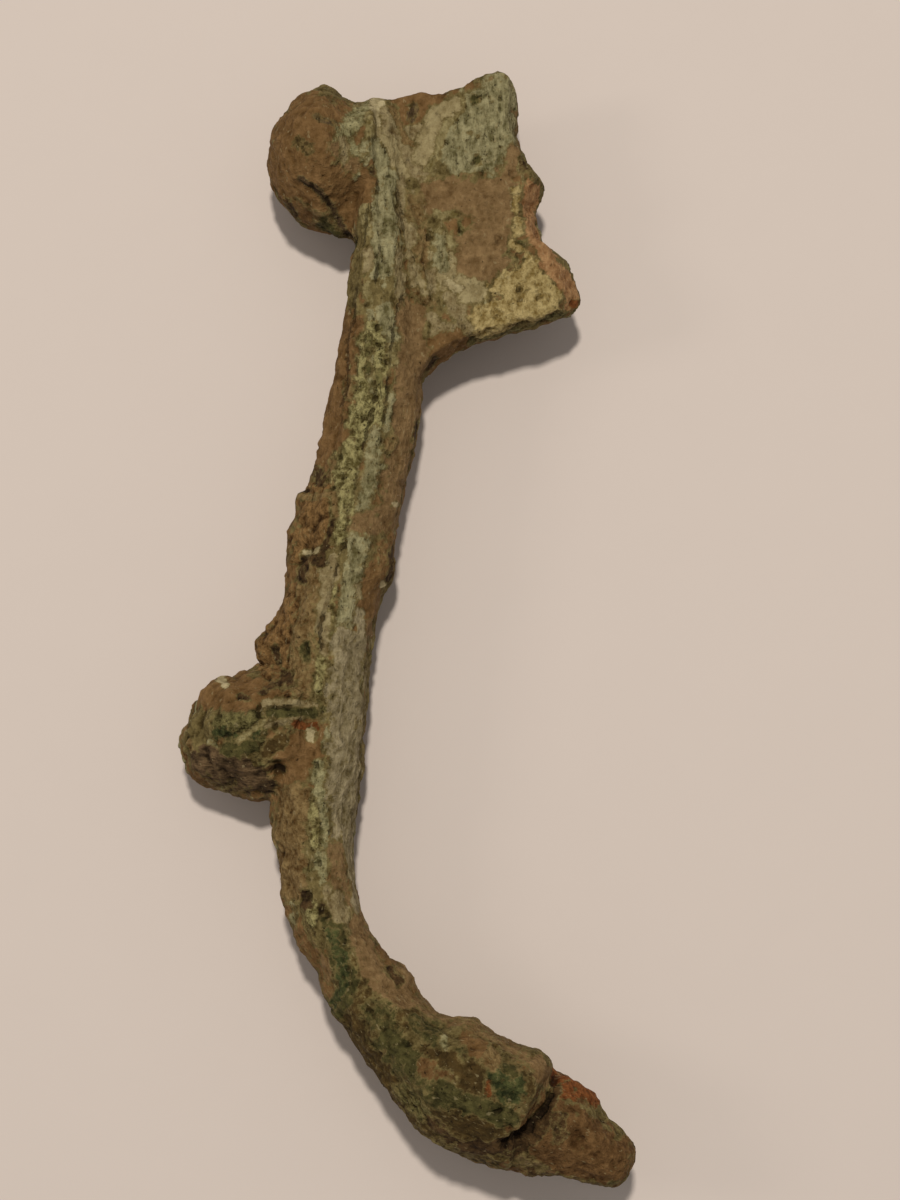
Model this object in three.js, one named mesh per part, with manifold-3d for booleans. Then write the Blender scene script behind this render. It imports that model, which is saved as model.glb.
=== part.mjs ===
// A Roman bow brooch of the strongly profiled kind, cast in one piece of bronze and lying on its side.
// The spring, the pin and the curl of the catch are lost, so the body ends in two broken edges.
// Millimetres. The body is drawn in its own plane: +x towards the pin side, +y towards the foot, +z out
// of the plane. At the end it is leant over and set down on z = 0.

import * as THREE from 'three';
import { ParametricGeometry } from 'three/addons/geometries/ParametricGeometry.js';
import { mergeVertices } from 'three/addons/utils/BufferGeometryUtils.js';
import Module from 'manifold-3d';

// ---- Driving dimensions -------------------------------------------------------------------------

// How the brooch lies: the pin side is raised, and small flats are worn where it touches.
const LEAN = 4.5;
const REST_FLAT_DEPTH = 0.12;
const PATINA = { color: 0x6b6345, roughness: 0.85, metalness: 0.2 };

// The bow, from the end of the foot to the head lip: middle line x and y, half its width in the
// plane, half its depth across the plane, and how far out its back and inner bevels lie.
const BOW = [
  { x: -2.35, y: 29.2, half: 1.1, depth: 1.7, back: 1.0, inner: 1.0 },
  { x: -2.4, y: 26.0, half: 1.5, depth: 2.1, back: 1.0, inner: 1.0 },
  { x: -2.7, y: 22.0, half: 1.65, depth: 2.3, back: 1.0, inner: 1.05 },
  { x: -2.9, y: 18.0, half: 1.7, depth: 2.4, back: 1.1, inner: 1.12 },
  { x: -3.2, y: 14.0, half: 2.2, depth: 2.45, back: 1.08, inner: 1.05 },
  { x: -3.85, y: 10.0, half: 2.55, depth: 2.5, back: 1.02, inner: 1.02 },
  { x: -4.9, y: 6.5, half: 2.5, depth: 2.6, back: 0.97, inner: 1.04 },
  { x: -5.95, y: 3.0, half: 2.8, depth: 2.75, back: 0.94, inner: 1.06 },
  { x: -6.8, y: -0.5, half: 2.5, depth: 2.9, back: 0.92, inner: 1.08 },
  { x: -7.5, y: -4.5, half: 2.55, depth: 3.0, back: 0.92, inner: 1.08 },
  { x: -7.95, y: -9.0, half: 2.45, depth: 2.8, back: 0.93, inner: 1.06 },
  { x: -8.15, y: -13.5, half: 2.05, depth: 2.4, back: 0.95, inner: 1.02 },
  { x: -7.75, y: -16.8, half: 1.85, depth: 2.4, back: 0.95, inner: 1.0 },
  { x: -6.8, y: -19.4, half: 1.9, depth: 2.6, back: 0.96, inner: 1.0 },
  { x: -5.1, y: -22.1, half: 2.0, depth: 3.0, back: 0.97, inner: 1.0 },
  { x: -2.85, y: -24.7, half: 2.65, depth: 3.7, back: 0.98, inner: 1.02 },
  { x: -0.5, y: -26.6, half: 3.25, depth: 4.57, back: 1.0, inner: 1.05 },
  { x: 1.6, y: -27.6, half: 3.2, depth: 4.57, back: 1.0, inner: 1.08 },
  { x: 2.85, y: -28.2, half: 2.95, depth: 4.2, back: 1.0, inner: 1.08 },
];

// The broken stub behind the head lip, in the same terms.
const STUB = [
  { x: 0.8, y: -27.4, half: 2.6, depth: 2.7, back: 1.0, inner: 1.0 },
  { x: 2.9, y: -28.4, half: 2.75, depth: 2.7, back: 1.0, inner: 1.0 },
  { x: 4.8, y: -29.25, half: 2.35, depth: 2.4, back: 1.0, inner: 1.0 },
  { x: 6.15, y: -30.25, half: 1.8, depth: 2.0, back: 1.0, inner: 1.0 },
  { x: 7.75, y: -31.1, half: 1.25, depth: 1.4, back: 1.0, inner: 1.0 },
];

// How crisp the edges of the faceted section are.
const SECTION_CRISPNESS = 22;

// Lumps of corrosion that show in the outline: place along the bow (the y of its middle line),
// height, length, and side (-1 the back, +1 the pin side).
const LUMPS = [
  { y: 5.4, rise: 0.2, length: 1.4, side: -1 },
  { y: -2.2, rise: 1.15, length: 1.6, side: -1 },
  { y: 2.3, rise: 0.25, length: 1.2, side: 1 },
  { y: -21.4, rise: 0.45, length: 0.9, side: 1 },
  { y: -25.3, rise: 0.2, length: 0.6, side: 1 },
];

// The knob at the end of the foot: an upright dome on the back of the foot, with its root below it.
const FOOT_KNOB = { x: -3.6, y: 25.9, radius: 4.1, widest: 2.2, reach: 5.3, neck: 3.1, turn: 2, deep: 1.02 };
const FOOT_KNOB_ROOT = { x: -4.8, y: 22.7, radius: 1.4 };

// The knob on the bow: a blunt dome that widens towards the bow.
const BOW_KNOB = { x: -9.7, y: -6.85, base: 3.6, middle: 3.35, tip: 2.2, reach: 5.45, turn: 1, deep: 1.0 };

// Two fillets run from the bow knob over each side of the bow: their places y, their two ends x, how
// deep they sit in the knob, and how much deeper at their back end.
const FILLETS = { ys: [-5.35, -6.6], back: -10.9, front: -8.3, radius: 0.34, sunk: 0.02, fall: 0.12 };

// The catchplate: its edge along the foot, its thickness there and at the free edge, the corners of its
// broken edge from the top to the foot of the break, and how far that edge slopes back from the lower
// face to the upper one, at its top and at its foot.
const PLATE = {
  root: -2.6,
  top: 28.9,
  topCorner: [5.35, 29.4],
  breakCorners: [[5.25, 26.6], [5.7, 25.4], [6.75, 23.6], [6.0, 22.0], [6.4, 20.3], [7.75, 18.95], [8.3, 17.0]],
  lowCorner: [7.2, 15.7],
  bottomRoot: [-0.9, 12.9],
  freeEdge: 8.0,
  thickRoot: 2.8,
  thickEdge: 1.7,
  breakTop: 0.25,
  breakLow: 0.95,
};

// A thin moulding on each face of the catchplate, beside the foot: its two ends and its radius.
const PLATE_MOULDING = { top: [-1.3, 23.4], low: [-0.3, 16.8], radius: 0.32, lift: 0.05 };

// ---- Helpers ------------------------------------------------------------------------------------

const wasm = await Module();
wasm.setup();

/** A closed three.js geometry as a manifold solid. */
function solid(geometry) {
  const bare = geometry.clone();
  bare.deleteAttribute('normal');
  bare.deleteAttribute('uv');
  const merged = mergeVertices(bare, 1e-4);
  const corners = merged.index.array;
  const kept = [];
  for (let i = 0; i < corners.length; i += 3) {
    const [a, b, c] = corners.slice(i, i + 3);
    if (a !== b && b !== c && c !== a) kept.push(a, b, c);
  }
  const mesh = new wasm.Mesh({
    numProp: 3,
    vertProperties: new Float32Array(merged.attributes.position.array),
    triVerts: new Uint32Array(kept),
  });
  return new wasm.Manifold(mesh);
}

/** Several solids fused into one. */
function union(solids) {
  return solids.reduce((fused, next) => fused.add(next));
}

/** A manifold solid as a three.js geometry. */
function geometryOf(manifold) {
  const mesh = manifold.getMesh();
  const geometry = new THREE.BufferGeometry();
  geometry.setAttribute('position', new THREE.BufferAttribute(new Float32Array(mesh.vertProperties), 3));
  geometry.setIndex(new THREE.BufferAttribute(new Uint32Array(mesh.triVerts), 1));
  geometry.computeVertexNormals();
  return geometry;
}

/** Distance from the middle of an eight-faceted section to its rim, at an angle from the inner side. */
function facetedRim(angle, back, inner) {
  const distances = [1, inner, 1, back, 1, back, 1, inner];
  let sum = 0;
  distances.forEach((distance, i) => {
    const facing = Math.cos(angle - (i * Math.PI) / 4);
    if (facing > 0) sum += (facing / distance) ** SECTION_CRISPNESS;
  });
  return sum ** (-1 / SECTION_CRISPNESS);
}

/** How far the corrosion lumps stand out of the bow at a height y, on one side. */
function lumpRise(y, side) {
  return LUMPS.filter((lump) => lump.side === side)
    .reduce((sum, lump) => sum + lump.rise * Math.exp(-(((y - lump.y) / lump.length) ** 2) * 2), 0);
}

/** A smooth curve through two of the values of the stations. */
function through(stations, first, second) {
  return new THREE.CatmullRomCurve3(stations.map((s) => new THREE.Vector3(s[first], s[second], 0)));
}

/** A bar with the faceted section, carried along its stations, with both ends rounded over. */
function bar(stations, sides, rings, endLength) {
  const line = through(stations, 'x', 'y');
  const sizes = through(stations, 'half', 'depth');
  const bevels = through(stations, 'back', 'inner');
  return new ParametricGeometry((around, along, target) => {
    const place = line.getPoint(along);
    const ahead = line.getTangent(along);
    const size = sizes.getPoint(along);
    const bevel = bevels.getPoint(along);
    const fromEnd = Math.min(along, 1 - along) / endLength;
    const swell = fromEnd < 1 ? Math.sqrt(1 - (1 - fromEnd) ** 2) : 1;
    const angle = 2 * Math.PI * around;
    const rim = facetedRim(angle, bevel.x, bevel.y) * swell;
    const sideways = Math.cos(angle);
    const side = Math.sign(sideways);
    const across = size.x * rim * sideways + lumpRise(place.y, side) * side * sideways ** 2;
    target.set(place.x - ahead.y * across, place.y + ahead.x * across, size.y * rim * Math.sin(angle));
  }, sides, rings);
}

/** A turned knob: a profile of radius and reach, turned round an axis that points to the back. */
function knob(profile, place, sides) {
  const curve = new THREE.SplineCurve(profile.map(([radius, reach]) => new THREE.Vector2(radius, reach)));
  const points = curve.getPoints(profile.length * 3);
  const last = profile[profile.length - 1][1];
  const closed = [new THREE.Vector2(0, profile[0][1]), ...points.slice(0, -1), new THREE.Vector2(0, last)];
  const geometry = new THREE.LatheGeometry(closed, sides);
  geometry.scale(1, 1, place.deep);
  geometry.rotateZ(THREE.MathUtils.degToRad(90 - place.turn));
  geometry.translate(place.x, place.y, 0);
  return solid(geometry);
}

// ---- Pieces of the casting ----------------------------------------------------------------------

function footKnob() {
  const { radius, widest, reach, neck } = FOOT_KNOB;
  const dome = reach - widest;
  const profile = [
    [neck, -1.0],
    [neck, 0.4],
    [radius * 0.95, widest * 0.62],
    [radius, widest],
    [radius * 0.83, widest + dome * 0.5],
    [radius * 0.5, widest + dome * 0.87],
    [0, reach],
  ];
  const root = new THREE.SphereGeometry(FOOT_KNOB_ROOT.radius, 14, 10);
  root.translate(FOOT_KNOB_ROOT.x, FOOT_KNOB_ROOT.y, 0);
  return knob(profile, FOOT_KNOB, 28).add(solid(root));
}

function bowKnob() {
  const { base, middle, tip, reach } = BOW_KNOB;
  const profile = [
    [base * 0.93, -1.5],
    [base, -0.9],
    [base, reach * 0.12],
    [middle, reach * 0.5],
    [tip, reach * 0.86],
    [tip * 0.6, reach * 0.97],
    [0, reach],
  ];
  return knob(profile, BOW_KNOB, 28);
}

/** A round-ended rib between two points. */
function rib(start, end, radius) {
  const along = end.clone().sub(start);
  const geometry = new THREE.CapsuleGeometry(radius, along.length(), 3, 8);
  const turn = new THREE.Quaternion().setFromUnitVectors(new THREE.Vector3(0, 1, 0), along.normalize());
  geometry.applyQuaternion(turn);
  const middle = start.clone().add(end).multiplyScalar(0.5);
  geometry.translate(middle.x, middle.y, middle.z);
  return solid(geometry);
}

/** The fillets, which follow the round of the knob's base on both sides of the bow. */
function fillets() {
  const { ys, back, front, radius, sunk, fall } = FILLETS;
  const base = BOW_KNOB.base;
  return union(ys.flatMap((y) => {
    const height = BOW_KNOB.deep * Math.sqrt(base ** 2 - (y - BOW_KNOB.y) ** 2) - sunk;
    return [1, -1].map((side) => {
      const start = new THREE.Vector3(back, y, side * (height - fall));
      const end = new THREE.Vector3(front, y, side * height);
      return rib(start, end, radius);
    });
  }));
}

/** The catchplate, an uneven sheet with its broken edge sloping out to the lower face. */
function catchplate() {
  const { root, top, topCorner, breakCorners, lowCorner, bottomRoot, breakTop, breakLow } = PLATE;
  const outline = new THREE.Shape();
  outline.moveTo(root, top);
  outline.lineTo(0.6, top);
  outline.lineTo(2.4, 29.3);
  outline.quadraticCurveTo(4.7, 30.7, ...topCorner);
  breakCorners.forEach(([x, y]) => outline.lineTo(x, y));
  outline.quadraticCurveTo(8.45, 16.1, ...lowCorner);
  outline.lineTo(3.3, 14.95);
  outline.quadraticCurveTo(1.0, 14.7, ...bottomRoot);
  outline.lineTo(root, bottomRoot[1]);
  outline.closePath();
  const sheet = new THREE.ExtrudeGeometry(outline, { depth: 1, steps: 1, bevelEnabled: false, curveSegments: 6 });
  sheet.translate(0, 0, -0.5);
  const place = sheet.attributes.position;
  const breakFoot = breakCorners[breakCorners.length - 1][1];
  for (let i = 0; i < place.count; i += 1) {
    const [x, y, z] = [place.getX(i), place.getY(i), place.getZ(i)];
    const onBreak = x > breakCorners[0][0] - 0.01 && y > lowCorner[1] + 0.1 && z > 0;
    const down = THREE.MathUtils.clamp((topCorner[1] - y) / (topCorner[1] - breakFoot), 0, 1);
    const slopedX = onBreak ? x - THREE.MathUtils.lerp(breakTop, breakLow, down) : x;
    place.setX(i, slopedX);
    place.setZ(i, z * plateThickness(slopedX));
  }
  return solid(sheet);
}

/** Thickness of the catchplate at a distance x from the bow's own axes. */
function plateThickness(x) {
  const across = (x - PLATE.root) / (PLATE.freeEdge - PLATE.root);
  return THREE.MathUtils.lerp(PLATE.thickRoot, PLATE.thickEdge, across);
}

/** The two mouldings beside the foot, one on each face of the catchplate. */
function plateMouldings() {
  const { top, low, radius, lift } = PLATE_MOULDING;
  return union([1, -1].map((face) => {
    const ends = [top, low].map(([x, y]) => {
      const height = plateThickness(x) / 2 + lift;
      return new THREE.Vector3(x, y, face * height);
    });
    return rib(...ends, radius);
  }));
}

/** Leans the casting over, sets it down, wears its three rests flat and centres it over the origin. */
function setDown(casting) {
  const leant = casting.rotate([0, -LEAN, 0]);
  const low = leant.boundingBox().min[2];
  const lowered = leant.translate([0, 0, -low - REST_FLAT_DEPTH]);
  const ground = new THREE.BoxGeometry(200, 200, 20);
  ground.translate(0, 0, -10);
  const worn = lowered.subtract(solid(ground));
  const { min, max } = worn.boundingBox();
  return worn.translate([-(min[0] + max[0]) / 2, -(min[1] + max[1]) / 2, 0]);
}

// ---- The brooch ---------------------------------------------------------------------------------

const casting = union([
  solid(bar(BOW, 32, 72, 0.014)),
  solid(bar(STUB, 16, 14, 0.15)),
  footKnob(),
  bowKnob(),
  fillets(),
  catchplate(),
  plateMouldings(),
]);
const group = new THREE.Group();
const brooch = new THREE.Mesh(geometryOf(setDown(casting)), new THREE.MeshStandardMaterial(PATINA));
brooch.name = 'brooch_body';
group.add(brooch);
export default group;
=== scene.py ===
"""A Roman bow brooch of the strongly profiled kind: one bronze casting under its old patina and soil.

The casting is worked out in millimetres in the brooch's own plane: u towards the pin side, v towards
the foot, w out of the plane. At the end it is leant over and set down in the frame's box, in metres.
"""

import math

import bpy
import numpy as np
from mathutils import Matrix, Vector


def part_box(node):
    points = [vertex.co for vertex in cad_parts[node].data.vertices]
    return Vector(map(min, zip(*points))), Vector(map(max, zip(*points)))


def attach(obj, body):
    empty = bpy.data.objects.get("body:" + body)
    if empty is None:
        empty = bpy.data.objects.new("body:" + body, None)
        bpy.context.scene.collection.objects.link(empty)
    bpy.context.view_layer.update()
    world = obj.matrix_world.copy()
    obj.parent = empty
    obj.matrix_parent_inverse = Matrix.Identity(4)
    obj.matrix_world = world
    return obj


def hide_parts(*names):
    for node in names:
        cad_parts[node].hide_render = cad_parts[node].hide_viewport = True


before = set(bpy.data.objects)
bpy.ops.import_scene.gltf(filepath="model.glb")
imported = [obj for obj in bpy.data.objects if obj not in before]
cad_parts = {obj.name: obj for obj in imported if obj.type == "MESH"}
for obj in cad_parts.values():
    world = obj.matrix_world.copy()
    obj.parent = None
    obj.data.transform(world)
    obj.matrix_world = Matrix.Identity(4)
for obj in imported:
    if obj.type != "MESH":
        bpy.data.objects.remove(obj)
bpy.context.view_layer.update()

bl_info = {
    "name": "Roman bow brooch",
    "version": (1, 0, 0),
    "blender": (4, 5, 0),
    "location": "3D View > Sidebar > Brooch",
    "description": "Builds a corroded Roman bow brooch and the plain stage it lies on",
    "category": "Object",
}

NODE = "brooch_body"
MM = 1000.0

# ---- The casting's own sizes, in millimetres -----------------------------------------------------

# The bow from the end of the foot to the head lip: middle line u and v, half width in the plane, half
# depth across it, and how far out its back and inner bevels lie.
BOW = (
    (-2.35, 29.2, 1.1, 1.7, 1.0, 1.0),
    (-2.4, 26.0, 1.5, 2.1, 1.0, 1.0),
    (-2.7, 22.0, 1.65, 2.3, 1.0, 1.05),
    (-2.9, 18.0, 1.7, 2.4, 1.1, 1.12),
    (-3.2, 14.0, 2.2, 2.45, 1.08, 1.05),
    (-3.85, 10.0, 2.55, 2.5, 1.02, 1.02),
    (-4.9, 6.5, 2.5, 2.6, 0.97, 1.04),
    (-5.95, 3.0, 2.8, 2.75, 0.94, 1.06),
    (-6.8, -0.5, 2.5, 2.9, 0.92, 1.08),
    (-7.5, -4.5, 2.55, 3.0, 0.92, 1.08),
    (-7.95, -9.0, 2.45, 2.8, 0.93, 1.06),
    (-8.15, -13.5, 2.05, 2.4, 0.95, 1.02),
    (-7.75, -16.8, 1.85, 2.4, 0.95, 1.0),
    (-6.8, -19.4, 1.9, 2.6, 0.96, 1.0),
    (-5.1, -22.1, 2.0, 3.0, 0.97, 1.0),
    (-2.85, -24.7, 2.65, 3.7, 0.98, 1.02),
    (-0.5, -26.6, 3.25, 4.57, 1.0, 1.05),
    (1.6, -27.6, 3.2, 4.57, 1.0, 1.08),
    (2.85, -28.2, 2.95, 4.2, 1.0, 1.08),
)
# The broken stub behind the head lip, in the same terms.
STUB = (
    (0.8, -27.4, 2.6, 2.7, 1.0, 1.0),
    (2.9, -28.4, 2.75, 2.7, 1.0, 1.0),
    (4.8, -29.25, 2.35, 2.4, 1.0, 1.0),
    (6.15, -30.25, 1.8, 2.0, 1.0, 1.0),
    (7.75, -31.1, 1.25, 1.4, 1.0, 1.0),
)
# How crisp the corners of the faceted section are.
SECTION_CRISPNESS = 22
LEAN = math.radians(4.5)

# Lumps that stand out of the bow: the v of its middle line, rise, length and side (-1 the back).
LUMPS = (
    (5.4, 0.2, 1.4, -1),
    (-2.2, 1.15, 1.6, -1),
    (2.3, 0.25, 1.2, 1),
    (-21.2, 0.3, 1.1, 1),
    (-25.3, 0.2, 0.6, 1),
)

# The knobs: where each starts, its radii and reach, its turn in degrees, and how deep it is for its width.
# The foot knob's "widest" is how far out it is widest. A ball rounds off its root: u, v and radius.
FOOT_KNOB = {
    "u": -3.6, "v": 25.9, "radius": 4.1, "widest": 2.2, "reach": 5.3, "neck": 3.1, "turn": 2, "deep": 1.02,
}
FOOT_KNOB_ROOT = (-4.8, 22.7, 1.4)
BOW_KNOB = {
    "u": -9.7, "v": -6.85, "base": 3.6, "middle": 3.35, "tip": 2.2, "reach": 5.45, "turn": 1, "deep": 1.0,
}
# The fillets on both sides of the bow; the catchplate and its outline, from the top over the broken edge to
# the low end; and the moulding beside the foot.
FILLETS = {"vs": (-5.35, -6.6), "back": -10.9, "front": -8.3, "radius": 0.34, "sunk": 0.02, "fall": 0.12}
PLATE = {
    "root": -2.6, "free_edge": 8.0, "thick_root": 2.8, "thick_edge": 1.7,
    "slope_top": 0.25, "slope_low": 0.95, "middle": (2.0, 21.5),
}
PLATE_TOP = ((-2.6, 28.9), (0.6, 28.9), (2.4, 29.3))
PLATE_TOP_BULGE = ((2.4, 29.3), (4.7, 30.7), (5.35, 29.4))
PLATE_BREAK = (
    (5.35, 29.4), (5.25, 26.6), (5.7, 25.4), (6.75, 23.6), (6.0, 22.0), (6.4, 20.3), (7.75, 18.95),
    (8.3, 17.0),
)
PLATE_LOW_CORNER = ((8.3, 17.0), (8.45, 16.1), (7.2, 15.7))
PLATE_LOW = ((7.2, 15.7), (3.3, 14.95))
PLATE_LOW_CURVE = ((3.3, 14.95), (1.0, 14.7), (-0.9, 12.9))
PLATE_END = ((-0.9, 12.9), (-2.6, 12.9))
PLATE_MOULDING = {"top": (-1.3, 23.4), "low": (-0.3, 16.8), "radius": 0.32, "lift": 0.05}

# Local swells and hollows of the whole outline: u, v, radius and rise. Four of the places are numbers that
# a helper program printed.
SWELLS = (
    (-7.6, 29.2, 1.2, -0.25),
    (-4.3, 20.5, 0.8, -0.25),
    (-14.7, -5.6, 1.2, -0.45),
    (-12.6, -9.9, 0.9, -0.25),
    (-8.6, -19.9, 1.1, -0.35),
    (-3.3, -20.4, 0.9, 0.1),
    (-1.9, -22.3, 0.8, -0.3),
    (-10.7, -2.5, 0.6, 0.4),
    (-11.8, -3.6, 0.9, -0.25),
    (-10.7, -1.5, 0.5, -0.2),
    (6.6, -28.0, 0.9, -0.3),
)

# Sunk lines of the front face: points, half width and depth. About half of the points are numbers that a
# helper program printed for places chosen one by one.
FRONT_LINES = (
    (((-7.0, 23.8), (-6.2, 23.2), (-5.4, 22.5), (-4.9, 21.8), (-4.4, 20.7)), 0.3, 0.2),
    (((-3.3, 11.4), (-3.7, 10.0), (-4.2, 8.2), (-4.8, 5.7), (-5.2, 4.2), (-5.6, 2.6), (-6.9, -1.5),
      (-7.0, -2.7)), 0.21, 0.15),
    (((-1.5, 23.0), (-1.35, 20.8)), 0.2, 0.08),
    (((-1.5, 16.9), (-1.8, 16.2), (-2.1, 15.0), (-2.5, 12.8), (-3.1, 8.7)), 0.22, 0.12),
    (((-2.55, 24.2), (-2.7, 22.4), (-2.6, 20.2), (-3.0, 17.8)), 0.2, 0.12),
    (((-3.2, 22.0), (-3.6, 20.0), (-4.2, 17.1), (-4.7, 14.6), (-5.4, 8.9)), 0.2, 0.08),
    (((4.1, -26.1), (3.85, -27.0), (3.4, -27.9), (2.75, -28.7), (2.2, -29.2), (1.3, -29.7)), 0.26, 0.5),
    (((-10.4, -5.95), (-8.3, -5.95)), 0.2, 0.12),
    (((-8.1, 6.8), (-7.2, 6.2), (-6.8, 4.6), (-7.3, 3.8)), 0.2, 0.18),
)
# Hollows and heaps of the front face: u, v, radius and rise.
FRONT_SPOTS = (
    (-7.6, 3.0, 0.55, -0.4),
    (-8.0, 2.4, 0.35, -0.25),
    (-9.6, -9.2, 0.45, -0.4),
    (-8.4, 4.6, 0.9, 0.18),
    (-8.0, 6.2, 0.8, 0.15),
    (-0.3, -23.6, 0.8, 0.22),
    (1.0, -24.6, 0.8, 0.2),
    (-3.2, -20.6, 0.8, 0.2),
    (-3.6, -19.6, 0.6, 0.12),
    (-0.9, 27.2, 0.7, -0.15),
    (3.3, 21.5, 1.6, 0.08),
    (4.9, -29.4, 0.6, -0.22),
    (6.0, -29.5, 0.5, 0.15),
    (3.9, -30.4, 0.5, -0.15),
    (5.6, -30.6, 0.6, 0.12),
    (4.3, -28.5, 0.5, 0.15),
    (-1.6, -24.6, 0.5, -0.15),
    (1.3, -27.4, 0.6, -0.15),
    (-3.8, -25.0, 0.6, 0.12),
    (-1.0, -27.8, 0.6, -0.12),
    (-2.5, -26.5, 0.6, 0.12),
    (-5.2, -22.5, 0.6, -0.12),
    (-6.5, -20.3, 0.5, -0.12),
    (-7.6, -17.0, 0.4, -0.2),
    (-8.5, -16.0, 0.35, -0.25),
)

# ---- Sizes of the relief, in millimetres ---------------------------------------------------------

# Heights of the streaks, of the flakes (least, and more on grainy finishes) and of the fine crumple.
STREAK_HEIGHT = 0.05
FLAKE_HEIGHT = (0.036, 0.054)
CRUMPLE_HEIGHT = 0.04
# The crust on the back of the bow: how far across it starts, and where it starts and ends along the bow;
# then the stretch on which it is lumpier, and how lumpy it is elsewhere.
CRUST_ACROSS = (0.6, 1.6)
CRUST_START, CRUST_END = (14, 17), (56, 60)
LUMPY_START, LUMPY_END = (26, 29), (38, 41)
PLAIN_CRUST = 0.45
# Out of the middle plane, where the front's own lines and spots fade in.
FRONT_STARTS = (-0.3, 0.4)
# How far the sunk lines wander, how much of them is left where they are worn away, how wide their drawn
# seam of painted shade is, and how far from it the side of a line is kept.
LINE_WANDER = 0.07
LINE_LEFT = 0.25
SEAM_REACH, SEAM_SOFT, SEAM_FAR = 0.38, 0.15, 0.6
# The height over its surroundings at which a point counts as fully up or fully down.
LEVEL_STEP = 0.12
# The highest that the crust may reach, as a share of the solid's height.
TOP_LIMIT = 1.02

# ---- Finishes ------------------------------------------------------------------------------------

# What the warm lamps leave of red, green and blue.
LAMP_TINT = (0.84, 0.8, 0.75)


def paint(red, green, blue):
    """The linear colour of a finish, from the chart values (0 to 255) that it shows under the lamps."""
    parts = [(value / 255 + 0.055) / 1.055 for value in (red, green, blue)]
    return tuple(round(part ** 2.4 / tint, 4) for part, tint in zip(parts, LAMP_TINT))


# Each finish: its dark and its pale tone, and how grainy, how pitted and how streaky it is, and how
# far it is built up in millimetres.
FINISHES = {
    "olive": (paint(70, 57, 28), paint(124, 108, 67), 0.45, 0.5, 0.1, 0.0),
    "soil": (paint(79, 55, 26), paint(124, 94, 58), 0.3, 0.3, 0.0, 0.05),
    "clay": (paint(90, 67, 38), paint(134, 107, 71), 0.35, 0.3, 0.1, 0.03),
    "straw": (paint(119, 97, 51), paint(182, 160, 108), 0.7, 0.25, 0.2, 0.0),
    "loam": (paint(39, 29, 12), paint(84, 65, 33), 0.22, 0.5, 0.1, 0.0),
    "umber": (paint(34, 23, 12), paint(84, 62, 36), 0.5, 0.4, 0.2, 0.0),
    "bark": (paint(43, 31, 18), paint(104, 82, 56), 0.3, 0.3, 0.9, 0.0),
    "ochre": (paint(84, 60, 30), paint(136, 112, 72), 0.6, 0.4, 0.2, 0.02),
    "sand": (paint(98, 80, 48), paint(152, 136, 98), 0.4, 0.3, 0.3, 0.02),
    "buff": (paint(114, 98, 63), paint(160, 144, 104), 0.3, 0.2, 0.2, 0.02),
    "cream": (paint(128, 113, 78), paint(184, 168, 128), 0.3, 0.1, 0.0, 0.03),
    "celadon": (paint(88, 80, 48), paint(152, 142, 104), 0.4, 0.3, 1.0, 0.0),
    "ash": (paint(92, 79, 49), paint(153, 138, 106), 0.3, 0.2, 0.55, 0.0),
    "sage": (paint(98, 84, 46), paint(148, 134, 92), 0.5, 0.4, 0.3, 0.02),
    "verdigris": (paint(92, 84, 50), paint(160, 150, 108), 0.6, 0.6, 0.5, 0.02),
    "granular": (paint(88, 77, 40), paint(166, 154, 102), 1.0, 0.7, 0.3, 0.0),
    "moss": (paint(56, 48, 21), paint(122, 112, 68), 0.8, 0.6, 0.6, 0.0),
    "deep": (paint(36, 33, 13), paint(84, 77, 42), 0.38, 0.6, 0.3, 0.0),
    "malachite": (paint(34, 38, 18), paint(80, 81, 45), 0.6, 0.4, 0.0, 0.02),
    "copper": (paint(114, 78, 45), paint(168, 129, 87), 0.5, 0.4, 0.0, 0.0),
    "rust": (paint(76, 40, 16), paint(132, 80, 42), 0.6, 0.4, 0.0, 0.02),
    "russet": (paint(68, 45, 20), paint(135, 103, 62), 0.7, 0.5, 0.1, 0.02),
    "amber": (paint(64, 42, 19), paint(114, 84, 50), 0.45, 0.4, 0.0, 0.02),
    "stone": (paint(46, 34, 20), paint(96, 78, 54), 0.4, 0.4, 0.2, 0.0),
}

# The ground on every side: finish, the noise that it follows, the span over which it comes in, strength.
GROUND_FINISH = (
    ("soil", "broad", -0.35, 0.15, 0.95),
    ("celadon", "streaks", 0.35, 0.75, 0.8),
    ("moss", "middling", 0.3, 0.8, 0.7),
    ("ochre", "patches", 0.5, 0.9, 0.5),
    ("umber", "spots", 0.62, 0.95, 0.7),
)

# The strokes of finish are laid from a little to the head's side: how far a point moves in their plane
# for each millimetre that it stands out.
SLANT = (-0.066, 0.213)
# Their borders: how far broad noise moves them, how far fine noise does for each millimetre of half width,
# and how soft they are, at least and for each millimetre of half width.
STROKE_RAGGED, STROKE_FINE = 0.24, 0.35
STROKE_SOFT, STROKE_SOFTER = 0.06, 0.26
# Out of the middle plane, where the strokes fade in, and how far the way a point faces moves that.
STROKES_START = (-0.8, -0.1)
FACING_REACH = 0.6
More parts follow.
